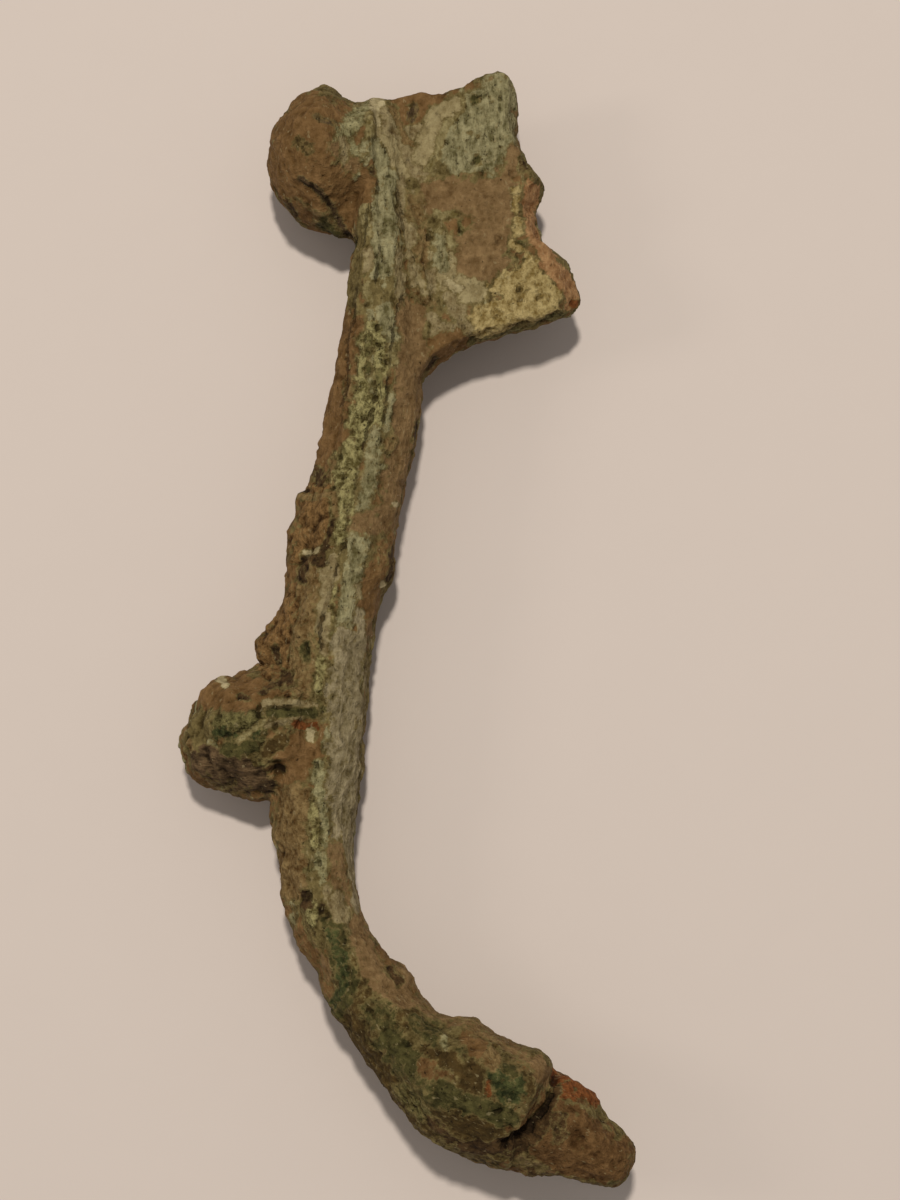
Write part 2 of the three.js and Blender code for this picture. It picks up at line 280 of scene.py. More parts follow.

# Where each finish lies on the front, part by part: finish, half width, strength and the line that it
# follows. The places were chosen one by one and turned into millimetres by a helper program. This is that
# program's list, shortened and retyped with rounding: two points in five are its very numbers, and nearly
# all the others lie within 0.25 mm of one of its points.
# Some strokes are painted shade rather than the metal's own colour; each is marked where it stands.
FRONT_FINISH = (
    # the foot knob and its neck
    ("soil", 2.2, 1, ((-6.5, 27.5), (-7, 25), (-6.5, 23))),
    ("soil", 1.1, 1, ((-5, 24), (-4, 22.5))),
    ("soil", 0.6, 0.8, ((-4.5, 28.5),)),
    ("ochre", 0.5, 0.7, ((-7.5, 23), (-5.5, 22))),
    ("soil", 0.35, 0.9, ((-7.5, 23), (-7, 22.5))),
    # painted shade: darker below the foot knob's ridge, along its crease
    ("bark", 0.2, 0.8, ((-7, 24.5), (-5.5, 23), (-4.5, 21))),
    # painted shade under the foot knob's neck
    ("deep", 0.4, 0.9, ((-6, 22), (-4.5, 20.5))),
    ("loam", 0.4, 0.6, ((-7, 26.5), (-6.5, 26))),
    ("bark", 0.25, 0.65, ((-6, 28), (-5, 27.5))),
    ("umber", 0.2, 0.8, ((-8, 23.5), (-7.5, 22.5))),
    ("verdigris", 0.55, 0.9, ((-3, 28.5), (-4, 27.5), (-4.5, 26.5), (-4, 25.5))),
    ("sage", 0.3, 0.9, ((-3, 28), (-3, 26.5))),
    ("clay", 0.4, 0.9, ((-5, 26), (-4, 25))),
    ("sand", 0.3, 0.9, ((-4.5, 26.5), (-4.5, 25.5))),
    # the foot beside the plate
    ("cream", 0.5, 0.9, ((-2.5, 29), (-2.5, 28))),
    ("sand", 0.5, 0.8, ((-2.5, 28), (-2, 26.5))),
    ("celadon", 0.7, 0.9, ((-2.5, 26), (-2, 25.5), (-2, 24))),
    ("celadon", 1, 0.85, ((-2.5, 23), (-2.5, 18), (-3, 15.5))),
    ("olive", 0.4, 0.9, ((-3.5, 22), (-4, 19.5), (-4.5, 17.5))),
    ("soil", 0.45, 1, ((-3.5, 24), (-3.5, 23))),
    ("sage", 0.3, 0.9, ((-3.5, 22.5), (-3.5, 21))),
    ("sand", 0.3, 0.9, ((-3.5, 20), (-3.5, 19))),
    ("sage", 0.3, 0.9, ((-3.5, 18), (-3.5, 17))),
    # the upper half of the plate
    ("celadon", 1.2, 0.85, ((4.5, 29), (3, 28), (1, 27), (2, 25.5), (4, 25.5), (4.5, 27.5))),
    ("sage", 0.5, 0.9, ((0, 24.5), (0.5, 26), (1, 27.5), (2, 28.5))),
    ("sand", 0.7, 0.9, ((-0.5, 27), (-1, 25.5), (-0.5, 24))),
    ("clay", 1.2, 1, ((0, 23), (2.5, 23), (4.5, 22.5), (3, 20.5), (3, 19), (1.5, 19.5))),
    ("ochre", 0.7, 0.7, ((-1, 23), (-0.5, 20), (-0.5, 17))),
    ("sand", 0.3, 0.9, ((-1.7, 27.5), (-1.3, 26), (-0.8, 23.5))),
    ("soil", 0.4, 1, ((-1.3, 29), (1, 29))),
    ("soil", 0.4, 1, ((-1, 28.3), (0, 28.3))),
    ("soil", 0.3, 1, ((-1, 27.7), (-0.5, 27.7))),
    ("bark", 0.3, 0.7, ((-0.5, 28.5), (-0.7, 27.7))),
    ("ochre", 0.2, 0.9, ((-1.7, 28.5), (-1, 26.5), (-0.2, 26))),
    ("buff", 0.5, 1, ((1.8, 28.5), (0.7, 28), (0.3, 27), (-0.2, 25.5))),
    ("buff", 0.4, 1, ((-2, 26.5), (-1.2, 24.5))),
    ("buff", 0.3, 1, ((-2.5, 28.5), (-2.5, 27))),
    ("cream", 0.3, 1, ((-2.5, 28.7), (-2.5, 27.5))),
    ("sand", 0.3, 0.9, ((-2.2, 28.3), (-2, 27))),
    ("olive", 0.4, 0.8, ((-0.8, 23.8),)),
    ("deep", 0.3, 0.8, ((3, 25),)),
    ("deep", 0.3, 0.8, ((3, 28.7),)),
    # the lower half of the plate
    ("sage", 0.3, 0.8, ((0.5, 22), (1.5, 22))),
    ("sage", 0.3, 0.8, ((0.5, 21), (1.3, 20))),
    ("buff", 0.6, 1, ((0.5, 19.5), (1, 18), (2.5, 17.5))),
    ("sand", 0.5, 0.9, ((1, 17), (1.5, 16))),
    ("celadon", 0.4, 0.8, ((0.5, 20.5), (0.5, 19))),
    ("cream", 0.3, 0.85, ((1, 18), (1.5, 17.5))),
    ("buff", 0.4, 1, ((1.8, 17), (2.6, 17))),
    ("sand", 0.3, 0.9, ((0, 18.7), (0, 17.5))),
    ("straw", 0.3, 0.85, ((5, 23), (5, 22))),
    ("straw", 0.3, 0.85, ((5, 21.2), (5, 20.5))),
    ("straw", 0.2, 0.85, ((4.5, 20), (5, 19.5))),
    ("straw", 0.3, 0.85, ((5.5, 19), (5.5, 18.5))),
    ("straw", 0.9, 1, ((4, 17.5), (6, 18.3), (6.3, 16.5), (3.7, 15.7), (2.5, 15.4))),
    ("granular", 0.4, 0.8, ((-0.2, 15.8), (0.8, 15))),
    ("sand", 0.3, 0.9, ((-0.2, 16), (0.2, 15.4))),
    # the moulding and the groove beside the foot
    ("sand", 0.2, 0.9, ((-1.4, 24.3), (-1.5, 21.5))),
    ("sand", 0.2, 0.8, ((-1.3, 21.5), (-1, 18))),
    ("sand", 0.2, 0.8, ((-0.8, 19), (-0.5, 17.5))),
    ("sand", 0.3, 0.9, ((-1, 21.3), (-1, 20.5))),
    ("sand", 0.2, 0.95, ((-1.7, 20), (-1.7, 18.5))),
    ("sand", 0.35, 0.95, ((-1.8, 18.5), (-1.8, 16.8))),
    ("olive", 0.3, 0.9, ((-3.2, 18), (-3, 17))),
    # the plate's edges
    ("soil", 0.3, 1, ((5.5, 28), (5.5, 26))),
    ("clay", 0.4, 1, ((5, 25.5), (4.8, 24.3))),
    ("copper", 0.55, 1, ((6, 23), (5.8, 21), (6.6, 18.7), (7.6, 17.4), (7.8, 16.5))),
    ("copper", 0.4, 1, ((5.7, 23.3), (6, 22.4))),
    ("rust", 0.3, 1, ((7.9, 16.3), (8.2, 16.2))),
    ("straw", 0.4, 1, ((2.2, 15), (3.7, 15.5), (6.2, 16))),
    ("moss", 0.3, 0.9, ((2, 14.5), (3.5, 14.7), (7.3, 15.5))),
    ("sand", 0.4, 0.9, ((0, 15), (1.8, 15.3))),
    ("soil", 0.7, 1, ((-1.5, 14.5), (-0.5, 14), (1, 14.5))),
    ("umber", 0.3, 1, ((-0.5, 13), (0, 13.5))),
    ("clay", 0.9, 1, ((-1.5, 16), (-1.3, 13.5), (-2, 10))),
    # the bow above its knob: the crusted back, the granular band and the pin side
    ("soil", 1.4, 0.8, ((-5, 15.5), (-7.2, 7), (-8.3, 3), (-9, -4))),
    ("soil", 0.8, 0.75, ((-5, 16), (-5.5, 13), (-6.3, 9.5), (-7, 7))),
    ("granular", 0.95, 1, ((-3.2, 15), (-3.7, 12.3), (-4, 10))),
    ("ochre", 0.4, 0.8, ((-6, 8), (-6.3, 6.5))),
    ("ochre", 0.3, 0.9, ((-5, 12.7), (-5, 11.8))),
    ("russet", 1, 1, ((-7, 6), (-7, 4.5), (-7.7, 3.3))),
    ("granular", 0.7, 0.8, ((-5, 8.7), (-5.5, 6.5), (-5.5, 4))),
    ("celadon", 0.5, 0.75, ((-3.7, 9.5), (-4, 7), (-4.5, 5.5))),
    ("celadon", 0.6, 0.8, ((-4.7, 4), (-5, 2.5), (-5.6, 0.3), (-6, -2.5), (-6.3, -5))),
    ("clay", 0.7, 0.9, ((-2, 9.6), (-2.6, 7), (-3.3, 4.6), (-4.5, 4.5))),
    ("soil", 0.7, 0.7, ((-3.3, 3.2), (-3.7, 1.6))),
    ("umber", 0.3, 0.8, ((-3, 3), (-3.3, 1.3))),
    ("soil", 0.6, 0.85, ((-4.3, 0.8), (-4.7, -2))),
    ("clay", 0.3, 0.9, ((-4.6, -1), (-4.7, -1.7))),
    ("umber", 0.45, 1, ((-7.8, 3), (-7, 2.7), (-7.5, 2))),
    ("cream", 0.2, 0.8, ((-8, 3.2), (-7, 3.2))),
    ("russet", 1.3, 1, ((-8.7, 0), (-9.6, -1.6), (-9.7, -3.8))),
    ("ochre", 0.8, 0.8, ((-7.4, 1.6), (-8, -1), (-8.3, -4))),
    ("granular", 0.35, 0.75, ((-6.5, 1), (-7, -1.8), (-7.4, -4.5))),
    ("sand", 0.35, 0.95, ((-6.7, 2), (-6.9, 0.4), (-7, -2.5))),
    ("sand", 0.3, 0.9, ((-6.2, 2.8), (-6.2, 1.6))),
    ("soil", 0.3, 0.9, ((-9.7, -3.3), (-9.2, -3.7))),
    ("ochre", 0.2, 0.8, ((-7.8, 6.2), (-6, 6.3), (-6, 5))),
    ("verdigris", 0.2, 0.8, ((-3.5, 14.3), (-3.8, 13), (-3.7, 12))),
    ("celadon", 0.2, 0.8, ((-2.6, 11.5), (-3, 9.7))),
    ("celadon", 0.4, 0.9, ((-2.6, 16.5), (-2.5, 15))),
    ("deep", 0.2, 0.8, ((-3.8, 13.6), (-3.8, 13))),
    ("moss", 0.25, 0.8, ((-3.2, 13), (-3.2, 12.3))),
    ("olive", 0.3, 0.85, ((-2.4, 18.2), (-2.4, 17.3))),
    ("sage", 0.3, 0.85, ((-2.5, 14.3), (-2.5, 13.5))),
    ("moss", 0.3, 0.8, ((-3.7, 15), (-3.7, 14.2))),
    ("umber", 0.3, 0.8, ((-7, 7.8), (-6.8, 7))),
    ("umber", 0.2, 0.9, ((-6.2, 4.8), (-6.8, 3))),
    ("umber", 0.3, 0.8, ((-8, 2.5), (-8, 1.7))),
    ("deep", 0.3, 0.8, ((-8, -2), (-8, -2.6))),
    ("umber", 0.2, 0.8, ((-9.8, -2), (-9.6, -2.8))),
    ("umber", 0.3, 0.8, ((-9.2, -3.5), (-8.8, -4))),
    ("umber", 0.2, 0.9, ((-1.2, 10), (-1.4, 9.3))),
    ("ochre", 0.3, 0.8, ((-2.8, 9), (-2.9, 8.7))),
    ("ochre", 0.3, 0.9, ((-8, 1), (-8, 0.3))),
    ("cream", 0.2, 0.9, ((-2.8, 5.5),)),
    ("cream", 0.2, 0.9, ((-3.7, 1),)),
    ("sand", 0.2, 0.8, ((-5, 1), (-5, 0.5))),
    # the bow knob and its fillets
    ("soil", 0.9, 1, ((-13.5, -4), (-12, -4), (-10.5, -4.5))),
    ("moss", 0.8, 1, ((-12.5, -6), (-11, -6), (-10.5, -6.7))),
    ("soil", 0.4, 1, ((-12.3, -5), (-11.3, -5.2))),
    ("olive", 0.7, 0.9, ((-14, -6), (-14.2, -7))),
    ("malachite", 0.4, 0.85, ((-12.7, -6.5), (-11.6, -7), (-10.7, -6.5))),
    ("bark", 0.9, 1, ((-13.5, -8), (-12, -8.5), (-10.7, -9.3))),
    ("bark", 0.5, 0.6, ((-13.3, -9.2), (-12, -9.7))),
    ("cream", 0.25, 1, ((-12.8, -3.6), (-12.5, -3.8))),
    ("sand", 0.2, 1, ((-10.3, -5), (-9, -5), (-7.6, -5.4))),
    # dark green patina, with painted shade on the fillet's side away from the key lamp
    ("deep", 0.3, 1, ((-10, -5.5), (-7.7, -5.7))),
    ("sand", 0.2, 0.9, ((-10.2, -6.2), (-8.4, -6))),
    ("rust", 0.25, 1, ((-8.6, -6.3), (-7.7, -6.5))),
    ("cream", 0.25, 1, ((-7.9, -6.7), (-8, -7), (-8, -7.6))),
    ("soil", 0.9, 1, ((-9.5, -7.3), (-8.5, -8), (-9.5, -9))),
    ("loam", 0.4, 0.9, ((-10.3, -7.6), (-9.4, -7))),
    ("umber", 0.2, 1, ((-10.4, -8.6), (-9.6, -8.8))),
    ("umber", 0.2, 0.9, ((-11.7, -4.5), (-11.2, -4.7))),
    ("umber", 0.2, 0.8, ((-10.4, -4.3), (-9.6, -4), (-9.2, -3.6))),
    ("sage", 0.2, 1, ((-11.8, -7), (-11.2, -6.5), (-10.4, -6))),
    ("deep", 0.4, 0.9, ((-12.4, -7.4), (-11, -7.3))),
    ("ochre", 0.2, 0.8, ((-14.6, -6.8), (-14.5, -7.2))),
    # the bow below its knob
    ("ochre", 1, 1, ((-9, -10.3), (-9.3, -12.5), (-9.3, -15))),
    ("verdigris", 0.45, 0.9, ((-7.6, -8.5), (-7.6, -11.5), (-8, -14.7))),
    ("ash", 0.9, 0.85, ((-5.8, -2), (-6, -6), (-6.4, -10.5), (-6.2, -12.3))),
    ("ash", 0.3, 0.95, ((-5, -0.5), (-5, -2), (-5.3, -3.8))),
    ("clay", 0.45, 0.8, ((-7, -13.2), (-6.8, -15), (-6.5, -16.7))),
    ("ash", 0.3, 0.9, ((-6.3, -13), (-6, -15), (-5.8, -17))),
    ("sand", 0.25, 0.9, ((-7.6, -15.2), (-7.1, -16.8))),
    ("granular", 0.3, 0.9, ((-8.4, -16), (-8.3, -17))),
    ("granular", 0.3, 0.7, ((-8, -10.5), (-8, -13))),
    ("umber", 0.3, 0.9, ((-8.7, -15.5), (-8.6, -16))),
    ("olive", 0.3, 0.85, ((-8.2, -14.5), (-8.2, -15.3))),
    ("ochre", 0.3, 0.9, ((-7.2, -15.7), (-7, -16.5))),
    # the bend, over the dark base of the head
    ("loam", 3.3, 0.85, ((-6, -21), (-4, -23.7), (-1.5, -25.7), (1, -27.3))),
    ("deep", 0.7, 0.9, ((-7, -17), (-7, -18.7), (-6.7, -20.3), (-7.2, -21.4))),
    ("malachite", 0.4, 0.8, ((-7.3, -17.7), (-6.9, -19), (-7, -20))),
    ("malachite", 0.3, 0.8, ((-7, -20.5), (-7.3, -21.3))),
    ("soil", 0.5, 0.7, ((-9, -17.7), (-8.3, -19.3), (-7.8, -20.6))),
    ("sand", 0.3, 0.75, ((-6.7, -16.4), (-6, -18.3), (-5, -20.3), (-4, -21.4))),
    ("soil", 0.45, 0.9, ((-5, -19), (-3.8, -20), (-3.4, -21))),
    ("clay", 0.5, 0.95, ((-6, -17.3), (-5.6, -19), (-5, -20.2), (-3.8, -21.4))),
    ("clay", 0.3, 0.9, ((-7.9, -19), (-7.8, -20))),
    ("clay", 0.3, 0.9, ((-4, -20), (-3.7, -20.7))),
    ("umber", 0.2, 0.8, ((-4.5, -19.8), (-4, -20.5))),
    ("sand", 0.4, 0.95, ((-7, -15.8), (-7, -16.8))),
    # the head and its lip
    ("loam", 1, 0.75, ((-3, -25.2), (-2, -24.5), (-0.5, -25))),
    ("deep", 0.9, 0.7, ((-5, -22), (-4, -24.2), (-2.5, -26))),
    ("deep", 0.6, 0.7, ((-3, -22.5), (-1.6, -23), (-0.6, -23.6))),
    ("deep", 0.6, 0.7, ((-4.6, -23.3), (-3, -24.5))),
    ("loam", 0.6, 0.9, ((-0.2, -23.4), (1, -24.2))),
    ("malachite", 0.7, 0.85, ((1, -25), (1.7, -25.6), (1.3, -26.6))),
    ("deep", 0.3, 0.85, ((1.4, -24.7), (1.8, -25))),
    ("ochre", 0.4, 0.9, ((0.3, -24.2), (0.7, -24.5))),
    ("olive", 0.35, 0.9, ((-1.3, -23), (-1, -23.4))),
    ("rust", 0.2, 0.8, ((0.4, -25.4), (0.4, -26))),
    ("amber", 0.5, 0.8, ((-2.7, -24.6), (-1.7, -25.3))),
    ("verdigris", 0.2, 0.8, ((-1.7, -23.2), (-1.6, -23.6))),
    ("soil", 0.5, 1, ((-0.3, -23.3), (0, -23.7))),
    ("olive", 0.3, 0.85, ((-3.5, -22.8), (-3.2, -23.3))),
    ("clay", 0.3, 0.7, ((-3.6, -21.2), (-1, -22.6), (2.2, -24.3), (3.7, -25.6))),
    ("moss", 0.55, 0.7, ((-4, -26), (-3, -27))),
    # painted shade on the head's lower side
    ("umber", 0.45, 0.75, ((-2.6, -27.5), (-1.7, -28.4))),
    # painted shade along the head's lower edge, below the lip
    ("umber", 0.45, 1, ((-1, -29), (0.5, -29.2))),
    ("loam", 0.4, 0.95, ((-0.6, -27.8), (1, -28), (2, -27.2))),
    ("stone", 0.5, 0.8, ((3.5, -26), (3, -27), (1.8, -27.4))),
    ("clay", 0.3, 0.95, ((3, -24.8), (3.5, -26))),
    ("deep", 0.55, 0.95, ((-1.8, -25.8), (-1, -26.4), (1.4, -27.2))),
    # the broken stub
    ("rust", 0.6, 1, ((4.2, -26), (5, -26.6), (5.8, -27))),
    ("amber", 1.8, 1, ((3.3, -28.4), (4.6, -29), (5.5, -30), (3, -29.7))),
    ("amber", 0.5, 1, ((7.2, -29.7), (6.7, -31), (4.3, -31.5))),
    # painted shade low on the stub
    ("umber", 0.45, 0.85, ((1.8, -29.7), (2.6, -30.6))),
    # painted shade on the stub beside the lip
    ("umber", 0.4, 0.8, ((4, -27.8), (4, -28.8))),
    # painted shade along the stub's lower edge
    ("bark", 0.3, 0.6, ((2, -30), (4, -31.3), (6, -32))),
    # the crack between the lip and the stub: painted shade in the lip's step and just below it
    ("umber", 0.25, 1, ((4, -26.5), (3.2, -27.7), (2.4, -28.5), (1.3, -29))),
    ("umber", 0.5, 1, ((3, -28), (2.6, -28.6), (1, -29))),
)


def linear(colour):
    """A colour with its alpha added."""
    return (*colour, 1.0)


class BroochSizes(bpy.types.PropertyGroup):
    """Sizes of the casting's surface."""

    pitch: bpy.props.FloatProperty(
        name="Mesh pitch", description="Size of one face of the casting's mesh",
        default=0.000151, min=0.0001, unit="LENGTH", precision=6)
    corrosion: bpy.props.FloatProperty(
        name="Corrosion height", description="How far the broad corrosion stands up or sinks in",
        default=0.00011, unit="LENGTH", precision=6)
    grain: bpy.props.FloatProperty(
        name="Grain height", description="Height of the grains of corrosion",
        default=0.00013, unit="LENGTH", precision=6)
    pit_depth: bpy.props.FloatProperty(
        name="Pit depth", description="Depth of the small round pits",
        default=0.00016, unit="LENGTH", precision=6)
    crust: bpy.props.FloatProperty(
        name="Crust height", description="Height of the soil crust along the back of the bow",
        default=0.00026, unit="LENGTH", precision=6)


TONES = ("dark", "pale")


def finish_property(name):
    """A colour setting for one tone of one finish."""
    finish, tone = name.rsplit("_", 1)
    return bpy.props.FloatVectorProperty(
        name=f"{finish.capitalize()}, {tone}", description=f"The {tone} tone of the {finish} finish",
        subtype="COLOR", size=3, min=0.0, max=1.0, default=FINISHES[finish][TONES.index(tone)])


class BroochColours(bpy.types.PropertyGroup):
    """Colours of the casting's finishes."""

    __annotations__ = {
        f"{finish}_{tone}": finish_property(f"{finish}_{tone}") for finish in FINISHES for tone in TONES}


class StageLook(bpy.types.PropertyGroup):
    """The floor, the lights and the camera."""

    floor: bpy.props.FloatVectorProperty(
        name="Floor", description="Colour of the floor", subtype="COLOR", size=3, min=0.0, max=1.0,
        default=(0.70, 0.625, 0.585))
    key: bpy.props.FloatProperty(
        name="Key light", description="Power of the light overhead", default=1.25, unit="POWER")
    fill: bpy.props.FloatProperty(
        name="Fill light", description="Power of the weak light from the left", default=0.16, unit="POWER")
    sky: bpy.props.FloatProperty(
        name="Sky", description="Strength of the even light all round", default=0.27)
    elevation: bpy.props.FloatProperty(
        name="Camera elevation", description="Angle of the camera above the floor",
        default=math.radians(78.0), subtype="ANGLE")
    azimuth: bpy.props.FloatProperty(
        name="Camera azimuth", description="Turn of the camera round the brooch",
        default=math.radians(-3.3), subtype="ANGLE")
    distance: bpy.props.FloatProperty(
        name="Camera distance", description="Distance from the camera to the brooch",
        default=0.150, unit="LENGTH")
    lens: bpy.props.FloatProperty(
        name="Lens", description="Focal length of the camera", default=81.8, subtype="DISTANCE_CAMERA")


# ---- Noise ---------------------------------------------------------------------------------------

# Large odd numbers that mix a cell's place and a seed.
MIX_U, MIX_V, MIX_W, MIX_SEED = 374761393, 668265263, 1103515245, 1274126177


def scattered(cells, seed):
    """A repeatable random number from 0 to 1 for each whole-numbered cell: its place and the seed times
    large odd numbers, folded twice."""
    mixed = cells[..., 0] * MIX_U + cells[..., 1] * MIX_V + cells[..., 2] * MIX_W + seed * MIX_SEED
    mixed = (mixed ^ (mixed >> 13)) * MIX_SEED
    mixed = (mixed ^ (mixed >> 16)) * MIX_V
    return ((mixed >> 8) & 0xFFFFFF) / 0xFFFFFF


CORNERS = np.array([(i, j, k) for i in (0, 1) for j in (0, 1) for k in (0, 1)])


def noise(points, cell, seed):
    """Smooth noise from -1 to 1: random values at the corners of a lattice, blended between them."""
    place = points / cell
    base = np.floor(place).astype(np.int64)
    part = place - base
    part = part * part * part * (part * (part * 6 - 15) + 10)
    total = np.zeros(len(points))
    for corner in CORNERS:
        weight = np.prod(np.where(corner == 1, part, 1 - part), axis=1)
        total += weight * (scattered(base + corner, seed) * 2 - 1)
    return total


def layered(points, cell, seed, layers=3):
    """Noise of several sizes added up, each half the size and half the height of the one before."""
    return sum(noise(points, cell / 2 ** i, seed + i) / 2 ** i for i in range(layers))


# ---- Surfaces ------------------------------------------------------------------------------------

# A step that is small beside every form, and what is trimmed off both ends of a bar, in shares of its length.
SMALL = 1e-4
BAR_TRIM = 0.0005


def through(points, along):
    """The centripetal curve through the points, at places from 0 to 1 along them."""
    points = np.asarray(points, float)
    padded = np.vstack([2 * points[0] - points[1], points, 2 * points[-1] - points[-2]])
    place = np.clip(along, 0, 1) * (len(points) - 1)
    index = np.minimum(place.astype(int), len(points) - 2)
    part = (place - index)[:, None]
    p0, p1, p2, p3 = (padded[index + i] for i in range(4))
    spans = [np.sqrt(np.linalg.norm(b - a, axis=1)) for a, b in ((p0, p1), (p1, p2), (p2, p3))]
    middle = np.where(spans[1] < SMALL, 1.0, spans[1])[:, None]
    before = np.where(spans[0] < SMALL, middle[:, 0], spans[0])[:, None]
    after = np.where(spans[2] < SMALL, middle[:, 0], spans[2])[:, None]
    leaving = ((p1 - p0) / before - (p2 - p0) / (before + middle) + (p2 - p1) / middle) * middle
    arriving = ((p2 - p1) / middle - (p3 - p1) / (middle + after) + (p3 - p2) / after) * middle
    square, cube = part ** 2, part ** 3
    return (p1 * (2 * cube - 3 * square + 1) + leaving * (cube - 2 * square + part)
            + p2 * (3 * square - 2 * cube) + arriving * (cube - square))


def closed_tube(rings):
    """Rings of points joined into a closed surface, with a fan at each end."""
    count, sides, _ = rings.shape
    points = np.vstack([rings.reshape(-1, 3), rings[0].mean(0), rings[-1].mean(0)])
    ring = np.arange(sides)
    following = (ring + 1) % sides
    start = np.arange(count - 1)[:, None] * sides
    quads = np.stack([start + ring, start + following, start + sides + following, start + sides + ring], -1)
    first, last = count * sides, count * sides + 1
    base = (count - 1) * sides
    faces = quads.reshape(-1, 4).tolist()
    faces += np.stack([following, ring, np.full(sides, first)], -1).tolist()
    faces += np.stack([base + ring, base + following, np.full(sides, last)], -1).tolist()
    return points, faces


def faceted_rim(angle, back, inner):
    """Distance from the middle to the rim of an eight-sided section: the sides' supporting lines,
    blended by a high power so that the corners are slightly round."""
    ones = np.ones_like(back)
    distances = (ones, inner, ones, back, ones, back, ones, inner)
    total = 0
    for i, distance in enumerate(distances):
        facing = np.maximum(np.cos(angle - i * math.pi / 4), 0)
        total = total + (facing / distance) ** SECTION_CRISPNESS
    return total ** (-1 / SECTION_CRISPNESS)


def bar(stations, sides, count, end_length):
    """The faceted section carried along the middle line: place + normal * across, and depth out of the
    plane. Both ends are rounded over by a quarter ellipse."""
    stations = np.array(stations)
    along = np.linspace(BAR_TRIM, 1 - BAR_TRIM, count)
    line = through(stations[:, 0:2], along)
    ahead = through(stations[:, 0:2], along + SMALL) - through(stations[:, 0:2], along - SMALL)
    ahead /= np.linalg.norm(ahead, axis=1)[:, None]
    half, depth = through(stations[:, 2:4], along).T[:, :, None]
    back, inner = through(stations[:, 4:6], along).T[:, :, None]
    from_end = np.clip(np.minimum(along, 1 - along) / end_length, 0, 1)
    swell = np.sqrt(1 - (1 - from_end) ** 2)[:, None]
    angle = np.linspace(0, 2 * math.pi, sides, endpoint=False)[None, :]
    rim = faceted_rim(angle, back + 0 * angle, inner + 0 * angle) * swell
    sideways = np.cos(angle)
    across = half * rim * sideways
    for v, rise, length, side in LUMPS:
        lump = rise * np.exp(-2 * ((line[:, 1:2] - v) / length) ** 2)
        across = across + side * lump * np.where(side * sideways > 0, sideways ** 2, 0)
    u = line[:, 0:1] - ahead[:, 1:2] * across
    v = line[:, 1:2] + ahead[:, 0:1] * across
    return closed_tube(np.stack([u, v, depth * rim * np.sin(angle)], -1))


def knob(profile, size, sides=96, count=60):
    """A turned knob: a profile of radius and reach, turned round an axis that points to the back."""
    radius, reach = smooth_profile(np.array(profile), count).T
    angle = np.linspace(0, 2 * math.pi, sides, endpoint=False)
    turn = math.radians(size["turn"])
    ring = np.cos(angle)[None, :] * radius[:, None]
    u = size["u"] - math.cos(turn) * reach[:, None] + math.sin(turn) * ring
    v = size["v"] + math.sin(turn) * reach[:, None] + math.cos(turn) * ring
    w = np.sin(angle)[None, :] * radius[:, None] * size["deep"]
    return closed_tube(np.stack([u, v, w], -1))


def smooth_profile(points, count):
    """The even cubic curve through the points of a profile, kept from crossing the knob's axis."""
    padded = np.vstack([points[0], points, points[-1]])
    place = np.linspace(0, 1, count) * (len(points) - 1)
    index = np.minimum(place.astype(int), len(points) - 2)
    part = (place - index)[:, None]
    p0, p1, p2, p3 = (padded[index + i] for i in range(4))
    leaving, arriving = (p2 - p0) / 2, (p3 - p1) / 2
    curve = ((2 * p1 - 2 * p2 + leaving + arriving) * part ** 3
             + (-3 * p1 + 3 * p2 - 2 * leaving - arriving) * part ** 2 + leaving * part + p1)
    return np.maximum(curve, (0.0, -np.inf))


def foot_knob():
    """The dome on the end of the foot."""
    radius, widest, reach, neck = (FOOT_KNOB[key] for key in ("radius", "widest", "reach", "neck"))
    dome = reach - widest
    return knob((
        (neck, -1.0), (neck, 0.4), (radius * 0.95, widest * 0.62), (radius, widest),
        (radius * 0.83, widest + dome * 0.5), (radius * 0.5, widest + dome * 0.87), (0, reach),
    ), FOOT_KNOB)


def bow_knob():
    """The blunt dome on the back of the bow."""
    base, middle, tip, reach = (BOW_KNOB[key] for key in ("base", "middle", "tip", "reach"))
    return knob((
        (base * 0.93, -1.5), (base, -0.9), (base, reach * 0.12), (middle, reach * 0.5),
        (tip, reach * 0.86), (tip * 0.6, reach * 0.97), (0, reach),
    ), BOW_KNOB)


def rib(start, end, radius, sides=16, count=24):
    """A round-ended rib: circles round the line from start to end, closed by half spheres."""
    start, end = np.array(start, float), np.array(end, float)
    axis = (end - start) / np.linalg.norm(end - start)
    side = np.cross(axis, (0, 0, 1) if abs(axis[2]) < 0.9 else (1, 0, 0))
    side /= np.linalg.norm(side)
    other = np.cross(axis, side)
    turn = np.linspace(0.02, math.pi - 0.02, count)
    middle = np.where(turn[:, None] < math.pi / 2, start, end) - axis * radius * np.cos(turn)[:, None]
    angle = np.linspace(0, 2 * math.pi, sides, endpoint=False)
    circle = np.cos(angle)[:, None] * side + np.sin(angle)[:, None] * other
    return closed_tube(middle[:, None, :] + circle[None] * (radius * np.sin(turn))[:, None, None])


def ball(centre, radius, sides=48, count=32):
    """A ball: a rib without length."""
    centre = np.array(centre, float)
    return rib(centre - (0, SMALL, 0), centre + (0, SMALL, 0), radius, sides, count)


def fillets():
    """Two fillets on each side, which run from the bow knob's round over the bow."""
    made = []
    for v in FILLETS["vs"]:
        rise = math.sqrt(BOW_KNOB["base"] ** 2 - (v - BOW_KNOB["v"]) ** 2)
        height = BOW_KNOB["deep"] * rise - FILLETS["sunk"]
        for side in (1, -1):
            start = (FILLETS["back"], v, side * (height - FILLETS["fall"]))
            made.append(rib(start, (FILLETS["front"], v, side * height), FILLETS["radius"]))
    return made


def bent(points, count=16):
    """The curve of a start, a handle and an end."""
    start, handle, end = np.array(points, float)
    part = np.linspace(0, 1, count)[:, None]
    return start * (1 - part) ** 2 + handle * 2 * part * (1 - part) + end * part ** 2


